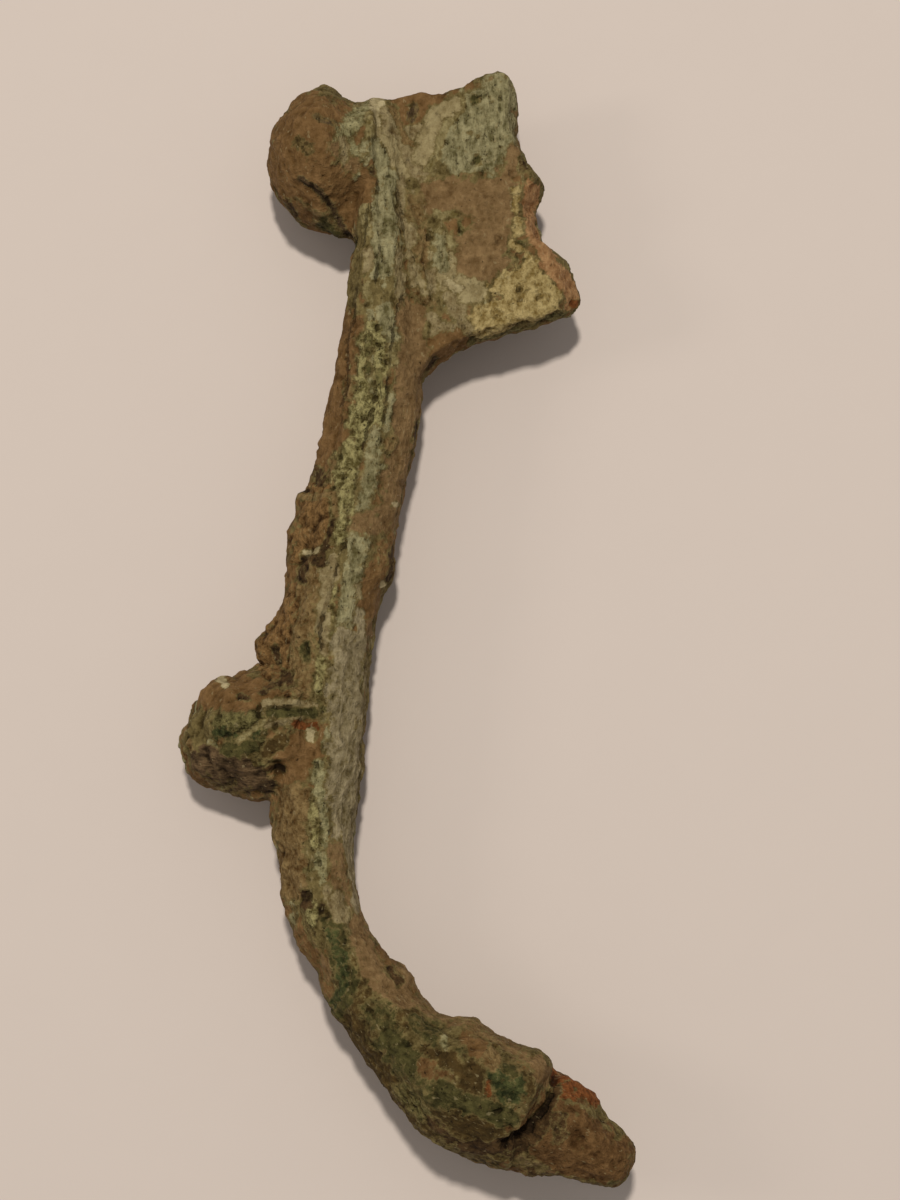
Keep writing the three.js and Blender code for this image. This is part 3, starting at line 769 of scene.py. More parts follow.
def straight(points, spacing=0.2):
    """A broken line with points at an even spacing."""
    points = np.array(points, float)
    pieces = []
    for start, end in zip(points[:-1], points[1:]):
        count = max(2, int(np.linalg.norm(end - start) / spacing))
        pieces.append(start + (end - start) * np.linspace(0, 1, count, endpoint=False)[:, None])
    return np.vstack(pieces)


def plate_thickness(u):
    """Thickness of the catchplate, which falls evenly from its root to its free edge."""
    across = (u - PLATE["root"]) / (PLATE["free_edge"] - PLATE["root"])
    return PLATE["thick_root"] + (PLATE["thick_edge"] - PLATE["thick_root"]) * across


def catchplate(steps=10):
    """The catchplate: its outline shrunk to the middle over both faces, with the two outlines joined
    by a wall. On the broken edge the upper outline lies further in."""
    parts = (straight(PLATE_TOP), bent(PLATE_TOP_BULGE)[:-1], straight(PLATE_BREAK),
             bent(PLATE_LOW_CORNER)[:-1], straight(PLATE_LOW), bent(PLATE_LOW_CURVE)[:-1],
             straight(PLATE_END), straight((PLATE_END[-1], PLATE_TOP[0])))
    lower = np.vstack(parts)
    foot, top = PLATE_BREAK[-1][1], PLATE_BREAK[0][1]
    down = np.clip((top - lower[:, 1]) / (top - foot), 0, 1)
    on_break = (lower[:, 0] > PLATE_BREAK[1][0] - 0.01) & (lower[:, 1] > PLATE_LOW_CORNER[2][1] + 0.1)
    slope = PLATE["slope_top"] + (PLATE["slope_low"] - PLATE["slope_top"]) * down
    upper = lower - np.stack([np.where(on_break, slope, 0), np.zeros(len(lower))], -1)
    middle = np.array(PLATE["middle"])
    rings = []
    for face, outline in ((1, upper), (-1, lower)):
        for part in np.linspace(0.02, 1, steps)[::face]:
            flat = middle + (outline - middle) * part
            rings.append(np.column_stack([flat, face * plate_thickness(flat[:, 0]) / 2]))
    return closed_tube(np.array(rings))


def plate_mouldings():
    """A thin moulding on each face of the catchplate, beside the foot."""
    made = []
    for face in (1, -1):
        ends = [(u, v, face * (plate_thickness(u) / 2 + PLATE_MOULDING["lift"]))
                for u, v in (PLATE_MOULDING["top"], PLATE_MOULDING["low"])]
        made.append(rib(*ends, PLATE_MOULDING["radius"]))
    return made


def casting():
    """All the casting's forms in one list of points and faces."""
    root_u, root_v, root_radius = FOOT_KNOB_ROOT
    bow = bar(BOW, sides=96, count=420, end_length=0.014)
    stub = bar(STUB, sides=64, count=90, end_length=0.15)
    forms = [bow, stub, foot_knob(), bow_knob(), ball((root_u, root_v, 0), root_radius), catchplate(),
             *fillets(), *plate_mouldings()]
    points, faces, offset = [], [], 0
    for form_points, form_faces in forms:
        points.append(form_points)
        faces += [[index + offset for index in face] for face in form_faces]
        offset += len(form_points)
    return np.vstack(points), faces


def fused(points, faces, pitch):
    """The forms fused into one closed skin of even faces."""
    mesh = bpy.data.meshes.new("casting_forms")
    mesh.from_pydata(points.tolist(), [], faces)
    forms = bpy.data.objects.new("casting_forms", mesh)
    bpy.context.scene.collection.objects.link(forms)
    skin = forms.modifiers.new("skin", "REMESH")
    skin.mode = "VOXEL"
    skin.voxel_size = pitch
    finished = forms.evaluated_get(bpy.context.evaluated_depsgraph_get())
    made = finished.to_mesh()
    places = np.zeros(len(made.vertices) * 3)
    made.vertices.foreach_get("co", places)
    corners = np.zeros(len(made.loops), np.int64)
    made.loops.foreach_get("vertex_index", corners)
    finished.to_mesh_clear()
    bpy.data.objects.remove(forms)
    bpy.data.meshes.remove(mesh)
    return places.reshape(-1, 3), corners.reshape(-1, 4)


def evened(values, quads, rounds, share=0.5):
    """Each point's values drawn towards the mean of its neighbours."""
    here = quads.ravel()
    there = np.roll(quads, -1, axis=1).ravel()
    count = len(values)
    links = np.bincount(here, minlength=count) + np.bincount(there, minlength=count)
    for _ in range(rounds):
        total = np.stack([np.bincount(here, column[there], count) + np.bincount(there, column[here], count)
                          for column in values.T], -1)
        values = values + share * (total / links[:, None] - values)
    return values


def outward(points, quads):
    """The unit direction out of the surface at each point."""
    corner = points[quads]
    facing = np.cross(corner[:, 2] - corner[:, 0], corner[:, 3] - corner[:, 1])
    here = quads.ravel()
    total = np.stack([np.bincount(here, np.repeat(column, 4), len(points)) for column in facing.T], -1)
    return total / np.maximum(np.linalg.norm(total, axis=1), 1e-12)[:, None]


def from_line(flat, line, sided=False):
    """Distance of each flat point from a broken line and, when asked, which side of it the point is on."""
    line = np.array(line, float)
    if len(line) == 1:
        return np.linalg.norm(flat - line[0], axis=1)
    nearest = np.full(len(flat), np.inf)
    hand = np.ones(len(flat))
    for start, end in zip(line[:-1], line[1:]):
        step = end - start
        away = flat - start
        part = np.clip(away @ step / (step @ step), 0, 1)
        distance = np.linalg.norm(away - part[:, None] * step, axis=1)
        if sided:
            turned = np.sign(step[0] * away[:, 1] - step[1] * away[:, 0])
            hand = np.where(distance < nearest, turned, hand)
        nearest = np.minimum(nearest, distance)
    return (nearest, hand) if sided else nearest


def fade(value, low, high):
    """0 below low, 1 above high, and smooth between."""
    part = np.clip((value - low) / (high - low), 0, 1)
    return part * part * (3 - 2 * part)


def way_along(points):
    """Where each point lies along the bow: across it, along it and out of the plane."""
    line = through(np.array(BOW)[:, 0:2], np.linspace(0, 1, 300))
    steps = np.diff(line, axis=0, append=line[-1:] * 2 - line[-2:-1])
    length = np.concatenate([[0], np.cumsum(np.linalg.norm(steps[:-1], axis=1))])
    nearest = np.concatenate([
        np.argmin(((part[:, None, :2] - line[None]) ** 2).sum(-1), axis=1)
        for part in np.array_split(points, 40)])
    ahead = steps[nearest] / np.linalg.norm(steps[nearest], axis=1)[:, None]
    offset = points[:, :2] - line[nearest]
    along = length[nearest] + (offset * ahead).sum(1)
    across = ahead[:, 0] * offset[:, 1] - ahead[:, 1] * offset[:, 0]
    return np.column_stack([across, along, points[:, 2]])


def on_knob(points):
    """1 on the bow knob, where the streaks run along the knob, and 0 away from it."""
    return fade(-points[:, 0], 8.9, 10.2) * fade(5.2 - np.abs(points[:, 1] - BOW_KNOB["v"]), 0, 1)


# ---- Finishes and relief -------------------------------------------------------------------------

def ground_noises(points, way):
    """The noises that the ground's finishes follow, by name."""
    broad = layered(points, cell=2.6, seed=11)
    return {
        "broad": broad,
        "middling": layered(points, cell=0.9, seed=21),
        "streaks": layered(way * (1.0, 0.35, 1.0), cell=0.7, seed=31) + 0.4 * broad,
        "patches": layered(points, cell=1.4, seed=41),
        "spots": layered(points, cell=1.1, seed=51),
    }


def finish_weights(points, normals, way):
    """How much of each finish lies at each point: first the ground, then the strokes of the front. Every
    patch is laid over those before it, with its border moved in and out by noise."""
    names = list(FINISHES)
    weights = np.zeros((len(points), len(names)))
    weights[:, 0] = 1

    def lay(name, cover):
        cover = np.clip(cover, 0, 1)[:, None]
        weights[:] *= 1 - cover
        weights[:, names.index(name)] += cover[:, 0]

    noises = ground_noises(points, way)
    for name, followed, low, high, strength in GROUND_FINISH:
        lay(name, fade(noises[followed], low, high) * strength)

    ragged = np.stack([layered(points, cell=1.1, seed=seed, layers=4) for seed in (61, 68)], -1)
    ragged *= STROKE_RAGGED
    fine = layered(points, cell=0.34, seed=71, layers=2) * STROKE_FINE
    front = fade(points[:, 2] + FACING_REACH * normals[:, 2], *STROKES_START)
    laid = points[:, :2] + points[:, 2:] * SLANT
    for name, half_width, strength, line in FRONT_FINISH:
        distance = from_line(laid + ragged * min(1, half_width), line)
        soft = STROKE_SOFT + STROKE_SOFTER * half_width
        cover = fade(half_width - distance + half_width * fine, -soft, soft)
        lay(name, cover * strength * front)
    return weights


def worn(points, full):
    """How much of a sunk line is left at each point: noise that wears stretches of it away."""
    return LINE_LEFT + (1 - LINE_LEFT) * fade(layered(points, cell=1.3, seed=171, layers=2), -0.35, full)


def seams(points):
    """The sunk lines as two values for the painted shade drawn along them: which side of the nearest line and
    how far, and how strong the shade is.
    """
    side = np.full(len(points), 1.0)
    strength = np.zeros(len(points))
    nearest = np.full(len(points), np.inf)
    shown = worn(points, 0.05) * fade(points[:, 2], *FRONT_STARTS)
    for line, _, depth in FRONT_LINES:
        distance, hand = from_line(points[:, :2], line, sided=True)
        closer = distance < nearest
        nearest = np.where(closer, distance, nearest)
        side = np.where(closer, np.clip(distance, 0, SEAM_FAR) * hand, side)
        drawn = fade(SEAM_REACH - distance, 0, SEAM_SOFT) * min(1, 0.5 + 2 * depth)
        strength = np.where(closer, drawn * shown, strength)
    return side, strength


def fine_relief(points, way, grain, pitting, streakiness, sizes):
    """Grains, streaks along the bow or the knob, small pits, flakes and a fine crumple, added up."""
    crumbs = layered(way * (1.0, 0.65, 1.0), cell=0.6, seed=111)
    crumbs = np.sign(crumbs) * np.abs(crumbs) ** 0.7
    knob = on_knob(points)
    streaks = (1 - knob) * layered(way * (1.0, 0.3, 1.0), cell=0.45, seed=121, layers=2)
    streaks += knob * layered(points * (0.3, 1.0, 1.0), cell=0.45, seed=126, layers=2)
    pits = fade(-layered(points, cell=0.55, seed=131, layers=2), 0.25, 0.8)
    flakes = fade(layered(points, cell=1.0, seed=136), -0.03, 0.06) - 0.5
    crumple = layered(points, cell=0.4, seed=138, layers=2)
    flake_height = FLAKE_HEIGHT[0] + FLAKE_HEIGHT[1] * grain
    return (sizes.grain * MM * grain * crumbs + STREAK_HEIGHT * streakiness * streaks
            - sizes.pit_depth * MM * pitting * pits + flake_height * flakes + CRUMPLE_HEIGHT * crumple)


def back_crust(points, way):
    """The billowed crust on the back of the bow, for a crust one millimetre high."""
    across, along = -way[:, 0], way[:, 1]
    there = fade(across, *CRUST_ACROSS) * fade(along, *CRUST_START) * (1 - fade(along, *CRUST_END))
    lumpy = PLAIN_CRUST + (1 - PLAIN_CRUST) * fade(along, *LUMPY_START) * (1 - fade(along, *LUMPY_END))
    return there * lumpy * (np.abs(layered(points, cell=1.6, seed=141)) * 1.3 - 0.4)


def placed_relief(points):
    """The swells of the outline, and the front's own lines, hollows and heaps: round or long bells."""
    height = np.zeros(len(points))
    for u, v, radius, rise in SWELLS:
        height += rise * np.exp(-((points[:, 0] - u) ** 2 + (points[:, 1] - v) ** 2) / radius ** 2)
    flat = points[:, :2] + LINE_WANDER * np.stack([noise(points, 0.5, seed) for seed in (151, 152)], -1)
    front = fade(points[:, 2], *FRONT_STARTS)
    left = worn(points, 0.15)
    for line, half_width, depth in FRONT_LINES:
        height -= depth * front * np.exp(-(from_line(flat, line) / half_width) ** 2) * left
    for u, v, radius, rise in FRONT_SPOTS:
        distance = np.hypot(flat[:, 0] - u, flat[:, 1] - v) / radius
        height += rise * front * np.exp(-distance ** 3)
    return height


def relief(points, way, weights, sizes):
    """How far each point is moved outwards, in millimetres, and how grainy, pitted and streaky it is."""
    grain, pitting, streakiness, build = (
        weights @ np.array([finish[column] for finish in FINISHES.values()]) for column in (2, 3, 4, 5))
    height = sizes.corrosion * MM * layered(points, cell=1.7, seed=101)
    height += fine_relief(points, way, grain, pitting, streakiness, sizes) + build
    height += sizes.crust * MM * back_crust(points, way) + placed_relief(points)
    return height, grain, pitting, streakiness


def set_down(points, plain):
    """Leans the casting over, and puts its plain form's middle and top where the frame's are."""
    def leant(values):
        u, v, w = values.T
        across = u * math.cos(LEAN) - w * math.sin(LEAN)
        return np.stack([across, v, u * math.sin(LEAN) + w * math.cos(LEAN)], -1)

    low, high = (np.array(corner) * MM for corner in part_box(NODE))
    plain = leant(plain)
    middle = (plain.min(0) + plain.max(0)) / 2
    shift = (low + high) / 2 - middle
    shift[2] = high[2] - plain[:, 2].max()
    placed = leant(points) + shift
    placed[:, 2] = np.clip(placed[:, 2], 0, high[2] * TOP_LIMIT)
    return placed / MM


def make_piece(name, places, quads, values):
    """A mesh object with its points, faces and named values."""
    mesh = bpy.data.meshes.new(name)
    mesh.vertices.add(len(places))
    mesh.vertices.foreach_set("co", places.astype(np.float32).ravel())
    mesh.loops.add(quads.size)
    mesh.loops.foreach_set("vertex_index", quads.astype(np.int32).ravel())
    mesh.polygons.add(len(quads))
    mesh.polygons.foreach_set("loop_start", np.arange(0, quads.size, 4, dtype=np.int32))
    mesh.update(calc_edges=True)
    mesh.polygons.foreach_set("use_smooth", np.ones(len(quads), bool))
    for key, column in values.items():
        vector = column.ndim == 2
        layer = mesh.attributes.new(key, "FLOAT_VECTOR" if vector else "FLOAT", "POINT")
        layer.data.foreach_set("vector" if vector else "value", column.astype(np.float32).ravel())
    mesh.validate()
    piece = bpy.data.objects.new(name, mesh)
    bpy.context.scene.collection.objects.link(piece)
    return piece


# ---- Shader groups -------------------------------------------------------------------------------

def new_group(name, inputs, outputs):
    """A shader node group with its sockets: name, type and default of each."""
    group = bpy.data.node_groups.new(name, "ShaderNodeTree")
    for label, kind, default in inputs:
        socket = group.interface.new_socket(label, in_out="INPUT", socket_type=kind)
        if default is not None:
            socket.default_value = default
    for label, kind in outputs:
        group.interface.new_socket(label, in_out="OUTPUT", socket_type=kind)
    return group, group.nodes.new("NodeGroupInput"), group.nodes.new("NodeGroupOutput")


class Field:
    """A value that changes over the surface: sums, differences and products add Math nodes."""

    def __init__(self, board, socket):
        self.board = board
        self.socket = socket

    def __add__(self, other):
        return self.board.maths("ADD", self, other)

    def __sub__(self, other):
        return self.board.maths("SUBTRACT", self, other)

    def __mul__(self, other):
        return self.board.maths("MULTIPLY", self, other)

    def __abs__(self):
        return self.board.maths("ABSOLUTE", self)


class Board:
    """Short ways to add nodes to a tree and join them."""

    def __init__(self, tree):
        self.tree = tree

    def put(self, socket, value):
        """Joins a field to a socket, or sets a plain value on it."""
        if isinstance(value, Field):
            self.tree.links.new(value.socket, socket)
        else:
            socket.default_value = value

    def maths(self, operation, *values, clamp=False):
        """The result of one operation on the values."""
        node = self.tree.nodes.new("ShaderNodeMath")
        node.operation = operation
        node.use_clamp = clamp
        for socket, value in zip(node.inputs, values):
            self.put(socket, value)
        return Field(self, node.outputs[0])

    def scaled(self, vector, factors):
        """A vector with each part multiplied by its own factor."""
        node = self.tree.nodes.new("ShaderNodeVectorMath")
        node.operation = "MULTIPLY"
        self.put(node.inputs[0], vector)
        self.put(node.inputs[1], factors)
        return Field(self, node.outputs[0])

    def span(self, value, low, high, start=0.0, end=1.0):
        """From start to end while the value goes from low to high, and smooth between."""
        node = self.tree.nodes.new("ShaderNodeMapRange")
        node.interpolation_type = "SMOOTHSTEP"
        for socket, entry in zip(node.inputs, (value, low, high, start, end)):
            self.put(socket, entry)
        return Field(self, node.outputs[0])

    def mix(self, factor, a, b):
        """Colour a where the factor is 0 and colour b where it is 1."""
        node = self.tree.nodes.new("ShaderNodeMix")
        node.data_type = "RGBA"
        self.put(node.inputs[0], factor)
        self.put(node.inputs[6], a)
        self.put(node.inputs[7], b)
        return Field(self, node.outputs[2])

    def noise(self, vector, scale=1.0, detail=4.0, roughness=0.6):
        """Noise from 0 to 1, about 0.5 in the middle."""
        node = self.tree.nodes.new("ShaderNodeTexNoise")
        settings = {"Vector": vector, "Scale": scale, "Detail": detail, "Roughness": roughness}
        for name, entry in settings.items():
            self.put(node.inputs[name], entry)
        return Field(self, node.outputs["Fac"])

    def value(self, name, output="Fac"):
        """A named value of the mesh."""
        node = self.tree.nodes.new("ShaderNodeAttribute")
        node.attribute_name = name
        return Field(self, node.outputs[output])

    def place(self, scale):
        """The place on the object, scaled."""
        node = self.tree.nodes.new("ShaderNodeTexCoord")
        return self.scaled(Field(self, node.outputs["Object"]), (scale, scale, scale))


def tone_group():
    """A tone from 0, dark, to 1, pale: broad and fine noise spread to the full range."""
    group, given, made = new_group(
        "Mottled tone",
        (("Vector", "NodeSocketVector", None), ("Contrast", "NodeSocketFloat", 2.0),
         ("Fineness", "NodeSocketFloat", 0.38)),
        (("Tone", "NodeSocketFloat"), ("Fine", "NodeSocketFloat")))
    board = Board(group)
    vector, contrast, fineness = (
        Field(board, given.outputs[name]) for name in ("Vector", "Contrast", "Fineness"))
    coarse = board.noise(vector, detail=3.0)
    fine = board.noise(vector, scale=3.6)
    swing = ((coarse - 0.5) * 0.62 + (fine - 0.5) * fineness) * contrast
    board.put(made.inputs["Tone"], board.maths("ADD", swing, 0.5, clamp=True))
    board.put(made.inputs["Fine"], fine)
    return group


def placed_group(board, group, **values):
    """A group placed in a tree with its inputs set, and its outputs as fields."""
    node = board.tree.nodes.new("ShaderNodeGroup")
    node.node_tree = group
    for label, value in values.items():
        board.put(node.inputs[label], value)
    return [Field(board, output) for output in node.outputs]


# ---- Materials -----------------------------------------------------------------------------------

# How far noise sways the borders of the finishes, and the spans of a finish's weight in which it comes in:
# with the sway, and without it.
MASK_SWAY = 1.9
MASK_COMES_IN = (0.35, 0.85)
MASK_LEAST = (0.02, 0.3)
# The middle of the streak and crumb noises, and how strongly mottling, streaks, crumbs and relief swing
# the tone; the relief's swing is painted light and shade, paler on crests and darker in hollows.
NOISE_MIDDLE = 0.49
TONE_CONTRAST, STREAK_SWING, CRUMB_SWING, RELIEF_SHADING_SWING = 2.1, 2.6, 4.2, 0.5
# How fine the mottling is: at least, and more on grainy finishes.
FINENESS, GRAINY_FINENESS = 0.18, 0.4
# Dark holes and painted shade: the brim of the pits (at least, and more on pitted finishes) and its softness;
# the middle and half width of a crack; and how dark they all are, the painted shade of sunk places and seams
# too.
PIT_BRIM, PITTED_BRIM, BRIM_SOFT = 0.27, 0.13, 0.06
CRACK_MIDDLE, CRACK_WIDTH = 0.44, 0.014
HOLE_AND_SHADE_DARKNESS = 0.72
# How far noise moves the seams of painted shade, in millimetres, and the span in which a seam fades.
SEAM_SWAY = 0.5
SEAM_FADE = (0.1, 0.02)
# How strong the painted highlights are: the pale glints on crumbs and the pale flecks.
PAINTED_GLINT_SHARE, PAINTED_FLECK_SHARE = 0.3, 0.4
# Heights of the bump: crumbs, streaks and holes beside the mottling, and its depth in metres.
CRUMB_BUMP, STREAK_BUMP, HOLE_BUMP = 1.6, 0.9, 0.6
MOTTLE_BUMP = 0.15
BUMP_STRENGTH, BUMP_DEPTH = 0.9, 0.00038
# How many patches of the floor's tooth there are to a metre.
CARD_TOOTH = 150.0


def new_material(name):
    """An empty material: itself, its board and its shader."""
    material = bpy.data.materials.new(name)
    material.use_nodes = True
    return material, Board(material.node_tree), material.node_tree.nodes["Principled BSDF"]


def layered_finishes(board, colours, tone, edge):
    """One tone of all the finishes, each laid over those before it where its own mask says."""
    first, *others = FINISHES
    colour = linear(getattr(colours, f"{first}_{tone}"))
    for index, name in enumerate(others):
        mask = board.value(name)
        sway = (edge - 0.5) * (MASK_SWAY if index % 2 else -MASK_SWAY)
        cover = board.span(mask + sway, *MASK_COMES_IN) * board.span(mask, *MASK_LEAST)
        colour = board.mix(cover, colour, linear(getattr(colours, f"{name}_{tone}")))
    return colour


def holes_and_painted_shade(board, way, edge, streak, pitting, streaky, level):
    """Where the colour is darkened: pits and cracks along the streaks, and painted shade in sunk places and
    along the drawn seams.
    """
    brim = pitting * PITTED_BRIM + PIT_BRIM
    pit_noise = board.noise(board.scaled(way, (4.2, 3.2, 4.2)), detail=3.0)
    pits = board.span(pit_noise, brim, brim - BRIM_SOFT)
    cracks = board.span(abs(streak - CRACK_MIDDLE), CRACK_WIDTH, 0.0) * streaky * board.span(edge, 0.5, 0.62)
    # painted shade: darker where the surface lies below its surroundings
    sunk = board.span(level, -0.45, -1.0, 0.0, 0.7)
    # painted shade along the drawn seams of the sunk lines
    seam = board.value("seam") + (edge - 0.5) * SEAM_SWAY
    seam = board.span(abs(seam), *SEAM_FADE) * board.value("seamed")
    holes_and_shade = pits
    for others in (cracks, sunk, seam):
        holes_and_shade = board.maths("MAXIMUM", holes_and_shade, others)
    return holes_and_shade


def bronze_material(colours, groups):
    """Corroded bronze: a dark and a pale coat of the finishes, mixed by noise, streaks and relief, with
    ragged dark pits. The relief's mix, the darkened seams and sunk places, and the pale glints are painted
    light and shade."""
    material, board, shader = new_material("patinated_bronze")
    place = board.place(MM)
    way = board.value("way", "Vector")
    grain, pitting, streaky, level = (board.value(key) for key in ("grain", "pitting", "streaky", "level"))
    edge = board.noise(place, scale=3.2, roughness=0.65)
    along_bow = board.noise(board.scaled(way, (3.0, 0.9, 3.0)), roughness=0.62)
    along_knob = board.noise(board.scaled(place, (0.9, 3.0, 3.0)), roughness=0.62)
    streak = (along_knob - along_bow) * board.value("knob") + along_bow
    crumb = board.noise(board.scaled(way, (3.8, 3.0, 3.8)), roughness=0.65)

    fineness = grain * GRAINY_FINENESS + FINENESS
    tone, fine = placed_group(board, groups["tone"], Vector=place, Contrast=TONE_CONTRAST, Fineness=fineness)
    tone = tone + (streak - NOISE_MIDDLE) * STREAK_SWING * streaky
    tone = tone + (crumb - NOISE_MIDDLE) * CRUMB_SWING * grain
    # painted light and shade from the relief: paler on crests, darker in hollows
    tone = board.maths("ADD", tone, level * RELIEF_SHADING_SWING, clamp=True)
    dark, pale = (layered_finishes(board, colours, coat, edge) for coat in TONES)
    colour = board.mix(tone, dark, pale)

    holes_and_shade = holes_and_painted_shade(board, way, edge, streak, pitting, streaky, level)
    colour = board.mix(holes_and_shade * HOLE_AND_SHADE_DARKNESS, colour, linear(colours.umber_dark))
    # painted highlights: pale glints on the crumbs
    painted_glints = board.span(crumb, 0.62, 0.74) * grain * PAINTED_GLINT_SHARE
    colour = board.mix(painted_glints, colour, linear(colours.cream_dark))
    # painted highlights: small pale flecks of light
    painted_flecks = board.noise(board.scaled(way, (5.2, 2.4, 5.2)), detail=2.0, roughness=0.5)
    painted_flecks = board.span(painted_flecks, 0.65, 0.72, 0.0, PAINTED_FLECK_SHARE)
    board.put(shader.inputs["Base Color"], board.mix(painted_flecks, colour, linear(colours.sand_pale)))
    board.put(shader.inputs["Roughness"], board.span(fine, 0.35, 0.65, 0.95, 0.65))
    shader.inputs["Specular IOR Level"].default_value = 0.1

    height = fine * (fineness + MOTTLE_BUMP) + crumb * grain * CRUMB_BUMP + streak * streaky * STREAK_BUMP
    bump = board.tree.nodes.new("ShaderNodeBump")
    bump.inputs["Strength"].default_value = BUMP_STRENGTH
    bump.inputs["Distance"].default_value = BUMP_DEPTH
    board.put(bump.inputs["Height"], height - holes_and_shade * HOLE_BUMP)
    board.put(shader.inputs["Normal"], Field(board, bump.outputs[0]))
    return material


def floor_material(colour, groups):
    """Plain matt card with a faint tooth."""
    material, board, shader = new_material("plain_card")
    tone, _ = placed_group(board, groups["tone"], Vector=board.place(CARD_TOOTH), Contrast=1.0)
    dark, pale = (linear(min(1.0, part * share) for part in colour) for share in (0.985, 1.015))
    board.put(shader.inputs["Base Color"], board.mix(tone, dark, pale))
    shader.inputs["Roughness"].default_value = 0.85
    shader.inputs["Specular IOR Level"].default_value = 0.2
    return material


def shader_groups():
    """The shader groups, built once."""
    return {"tone": bpy.data.node_groups.get("Mottled tone") or tone_group()}


# ---- Operators -----------------------------------------------------------------------------------

# The point that the lamps and the camera face, in shares of the solid's box: across and along from its
# middle, and up from its underside.
AIM = (0.144, 0.0155, 0.447)
# The lamps: side in metres, colour, and azimuth and elevation in degrees; and how far off they hang.
LAMPS = {
    "key": (0.03, (1.0, 0.93, 0.83), -2, 78),
    "fill": (0.10, (1.0, 0.92, 0.82), -85, 35),
}
LAMP_DISTANCE = 0.45
SKY_COLOUR = (1.0, 0.95, 0.89, 1)
FLOOR_HALF = 0.6


class BROOCH_OT_casting(bpy.types.Operator):
    """Build the brooch's casting with its relief and patina"""

    bl_idname = "brooch.casting"
    bl_label = "Build the casting"

    def execute(self, context):
        sizes = context.scene.brooch_sizes
        points, faces = casting()
        points, quads = fused(points, faces, sizes.pitch * MM)
        points = evened(points, quads, rounds=2)
        normals = evened(outward(points, quads), quads, rounds=4)
        way = way_along(points)
        weights = finish_weights(points, normals, way)
        height, grain, pitting, streaky = relief(points, way, weights, sizes)
        seam, seamed = seams(points)
        shaped = points + normals * height[:, None]
        surroundings = evened(height[:, None], quads, rounds=14)[:, 0]
        values = {name: weights[:, index] for index, name in enumerate(FINISHES) if index}
        values.update(grain=grain, pitting=pitting, streaky=streaky, way=way, knob=on_knob(points), seam=seam,
                      seamed=seamed, level=np.clip((height - surroundings) / LEVEL_STEP, -1, 1))
        piece = make_piece("cast_brooch", set_down(shaped, points), quads, values)
        piece.data.materials.append(bronze_material(context.scene.brooch_colours, shader_groups()))
        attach(piece, "root")
        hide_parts(NODE)
        return {"FINISHED"}


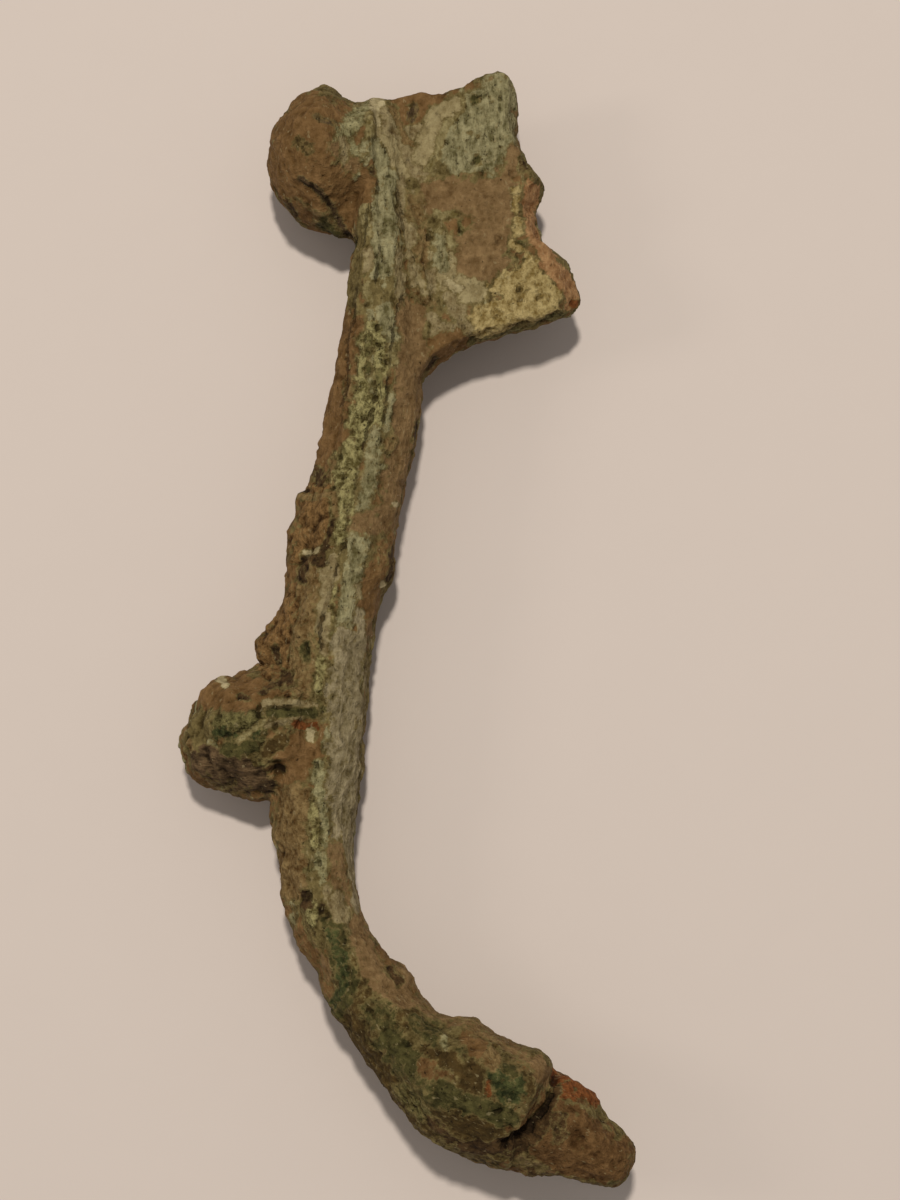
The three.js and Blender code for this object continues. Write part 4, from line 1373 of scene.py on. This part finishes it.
class BROOCH_OT_stage(bpy.types.Operator):
    """Lay the floor, hang the lights and place the camera"""

    bl_idname = "brooch.stage"
    bl_label = "Set the stage"

    def execute(self, context):
        look = context.scene.brooch_stage
        low, high = (Vector(corner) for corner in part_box(NODE))
        size = high - low
        middle = (low + high) / 2
        across, along, up = AIM
        target = Vector((middle.x + across * size.x, middle.y + along * size.y, low.z + up * size.z))
        self.floor(look, low.z)
        for name in LAMPS:
            self.light(context, name, getattr(look, name), target)
        world = bpy.data.worlds.new("even_light")
        world.use_nodes = True
        background = world.node_tree.nodes["Background"]
        background.inputs["Color"].default_value = SKY_COLOUR
        background.inputs["Strength"].default_value = look.sky
        context.scene.world = world
        self.camera(context, look, target)
        context.scene.view_settings.view_transform = "Standard"
        return {"FINISHED"}

    def floor(self, look, height):
        """A flat square."""
        corners = ((-1, -1), (1, -1), (1, 1), (-1, 1))
        mesh = bpy.data.meshes.new("floor")
        mesh.from_pydata([(x * FLOOR_HALF, y * FLOOR_HALF, height) for x, y in corners], [], [(0, 1, 2, 3)])
        floor = bpy.data.objects.new("floor", mesh)
        floor.data.materials.append(floor_material(look.floor, shader_groups()))
        bpy.context.scene.collection.objects.link(floor)

    def light(self, context, name, power, target):
        """A square lamp that faces the brooch; azimuth 0 is beyond the foot."""
        side, colour, azimuth, elevation = LAMPS[name]
        azimuth, elevation = math.radians(azimuth), math.radians(elevation)
        lamp = bpy.data.lights.new(name, "AREA")
        lamp.energy = power
        lamp.size = side
        lamp.color = colour
        holder = bpy.data.objects.new(name, lamp)
        away = Vector((math.sin(azimuth) * math.cos(elevation), math.cos(azimuth) * math.cos(elevation),
                       math.sin(elevation)))
        holder.location = target + away * LAMP_DISTANCE
        holder.rotation_euler = away.to_track_quat("Z", "Y").to_euler()
        context.scene.collection.objects.link(holder)

    def camera(self, context, look, target):
        """The camera looks down on the brooch."""
        lens = bpy.data.cameras.new("camera")
        lens.lens = look.lens
        lens.clip_start = 0.01
        camera = bpy.data.objects.new("camera", lens)
        away = Vector((math.sin(look.azimuth) * math.cos(look.elevation),
                       -math.cos(look.azimuth) * math.cos(look.elevation), math.sin(look.elevation)))
        camera.location = target + away * look.distance
        camera.rotation_euler = away.to_track_quat("Z", "Y").to_euler()
        context.scene.collection.objects.link(camera)
        context.scene.camera = camera


class BROOCH_PT_panel(bpy.types.Panel):
    """Lists the brooch's settings, with the buttons that build the casting and the stage."""

    bl_idname = "BROOCH_PT_panel"
    bl_label = "Roman bow brooch"
    bl_space_type = "VIEW_3D"
    bl_region_type = "UI"
    bl_category = "Brooch"

    def draw(self, context):
        scene = context.scene
        for settings, operator in ((scene.brooch_sizes, "brooch.casting"), (scene.brooch_colours, None),
                                   (scene.brooch_stage, "brooch.stage")):
            box = self.layout.box()
            for key in settings.__annotations__:
                box.prop(settings, key)
            if operator:
                box.operator(operator)


CLASSES = (BroochSizes, BroochColours, StageLook, BROOCH_OT_casting, BROOCH_OT_stage, BROOCH_PT_panel)


def register():
    """Registers the classes and hangs the settings on the scene."""
    for entry in CLASSES:
        bpy.utils.register_class(entry)
    bpy.types.Scene.brooch_sizes = bpy.props.PointerProperty(type=BroochSizes)
    bpy.types.Scene.brooch_colours = bpy.props.PointerProperty(type=BroochColours)
    bpy.types.Scene.brooch_stage = bpy.props.PointerProperty(type=StageLook)


def unregister():
    """Takes the settings off the scene and unregisters the classes."""
    del bpy.types.Scene.brooch_sizes, bpy.types.Scene.brooch_colours, bpy.types.Scene.brooch_stage
    for entry in reversed(CLASSES):
        bpy.utils.unregister_class(entry)


def main():
    """Builds the brooch and its stage."""
    register()
    bpy.ops.brooch.casting()
    bpy.ops.brooch.stage()


if __name__ == "__main__":
    main()
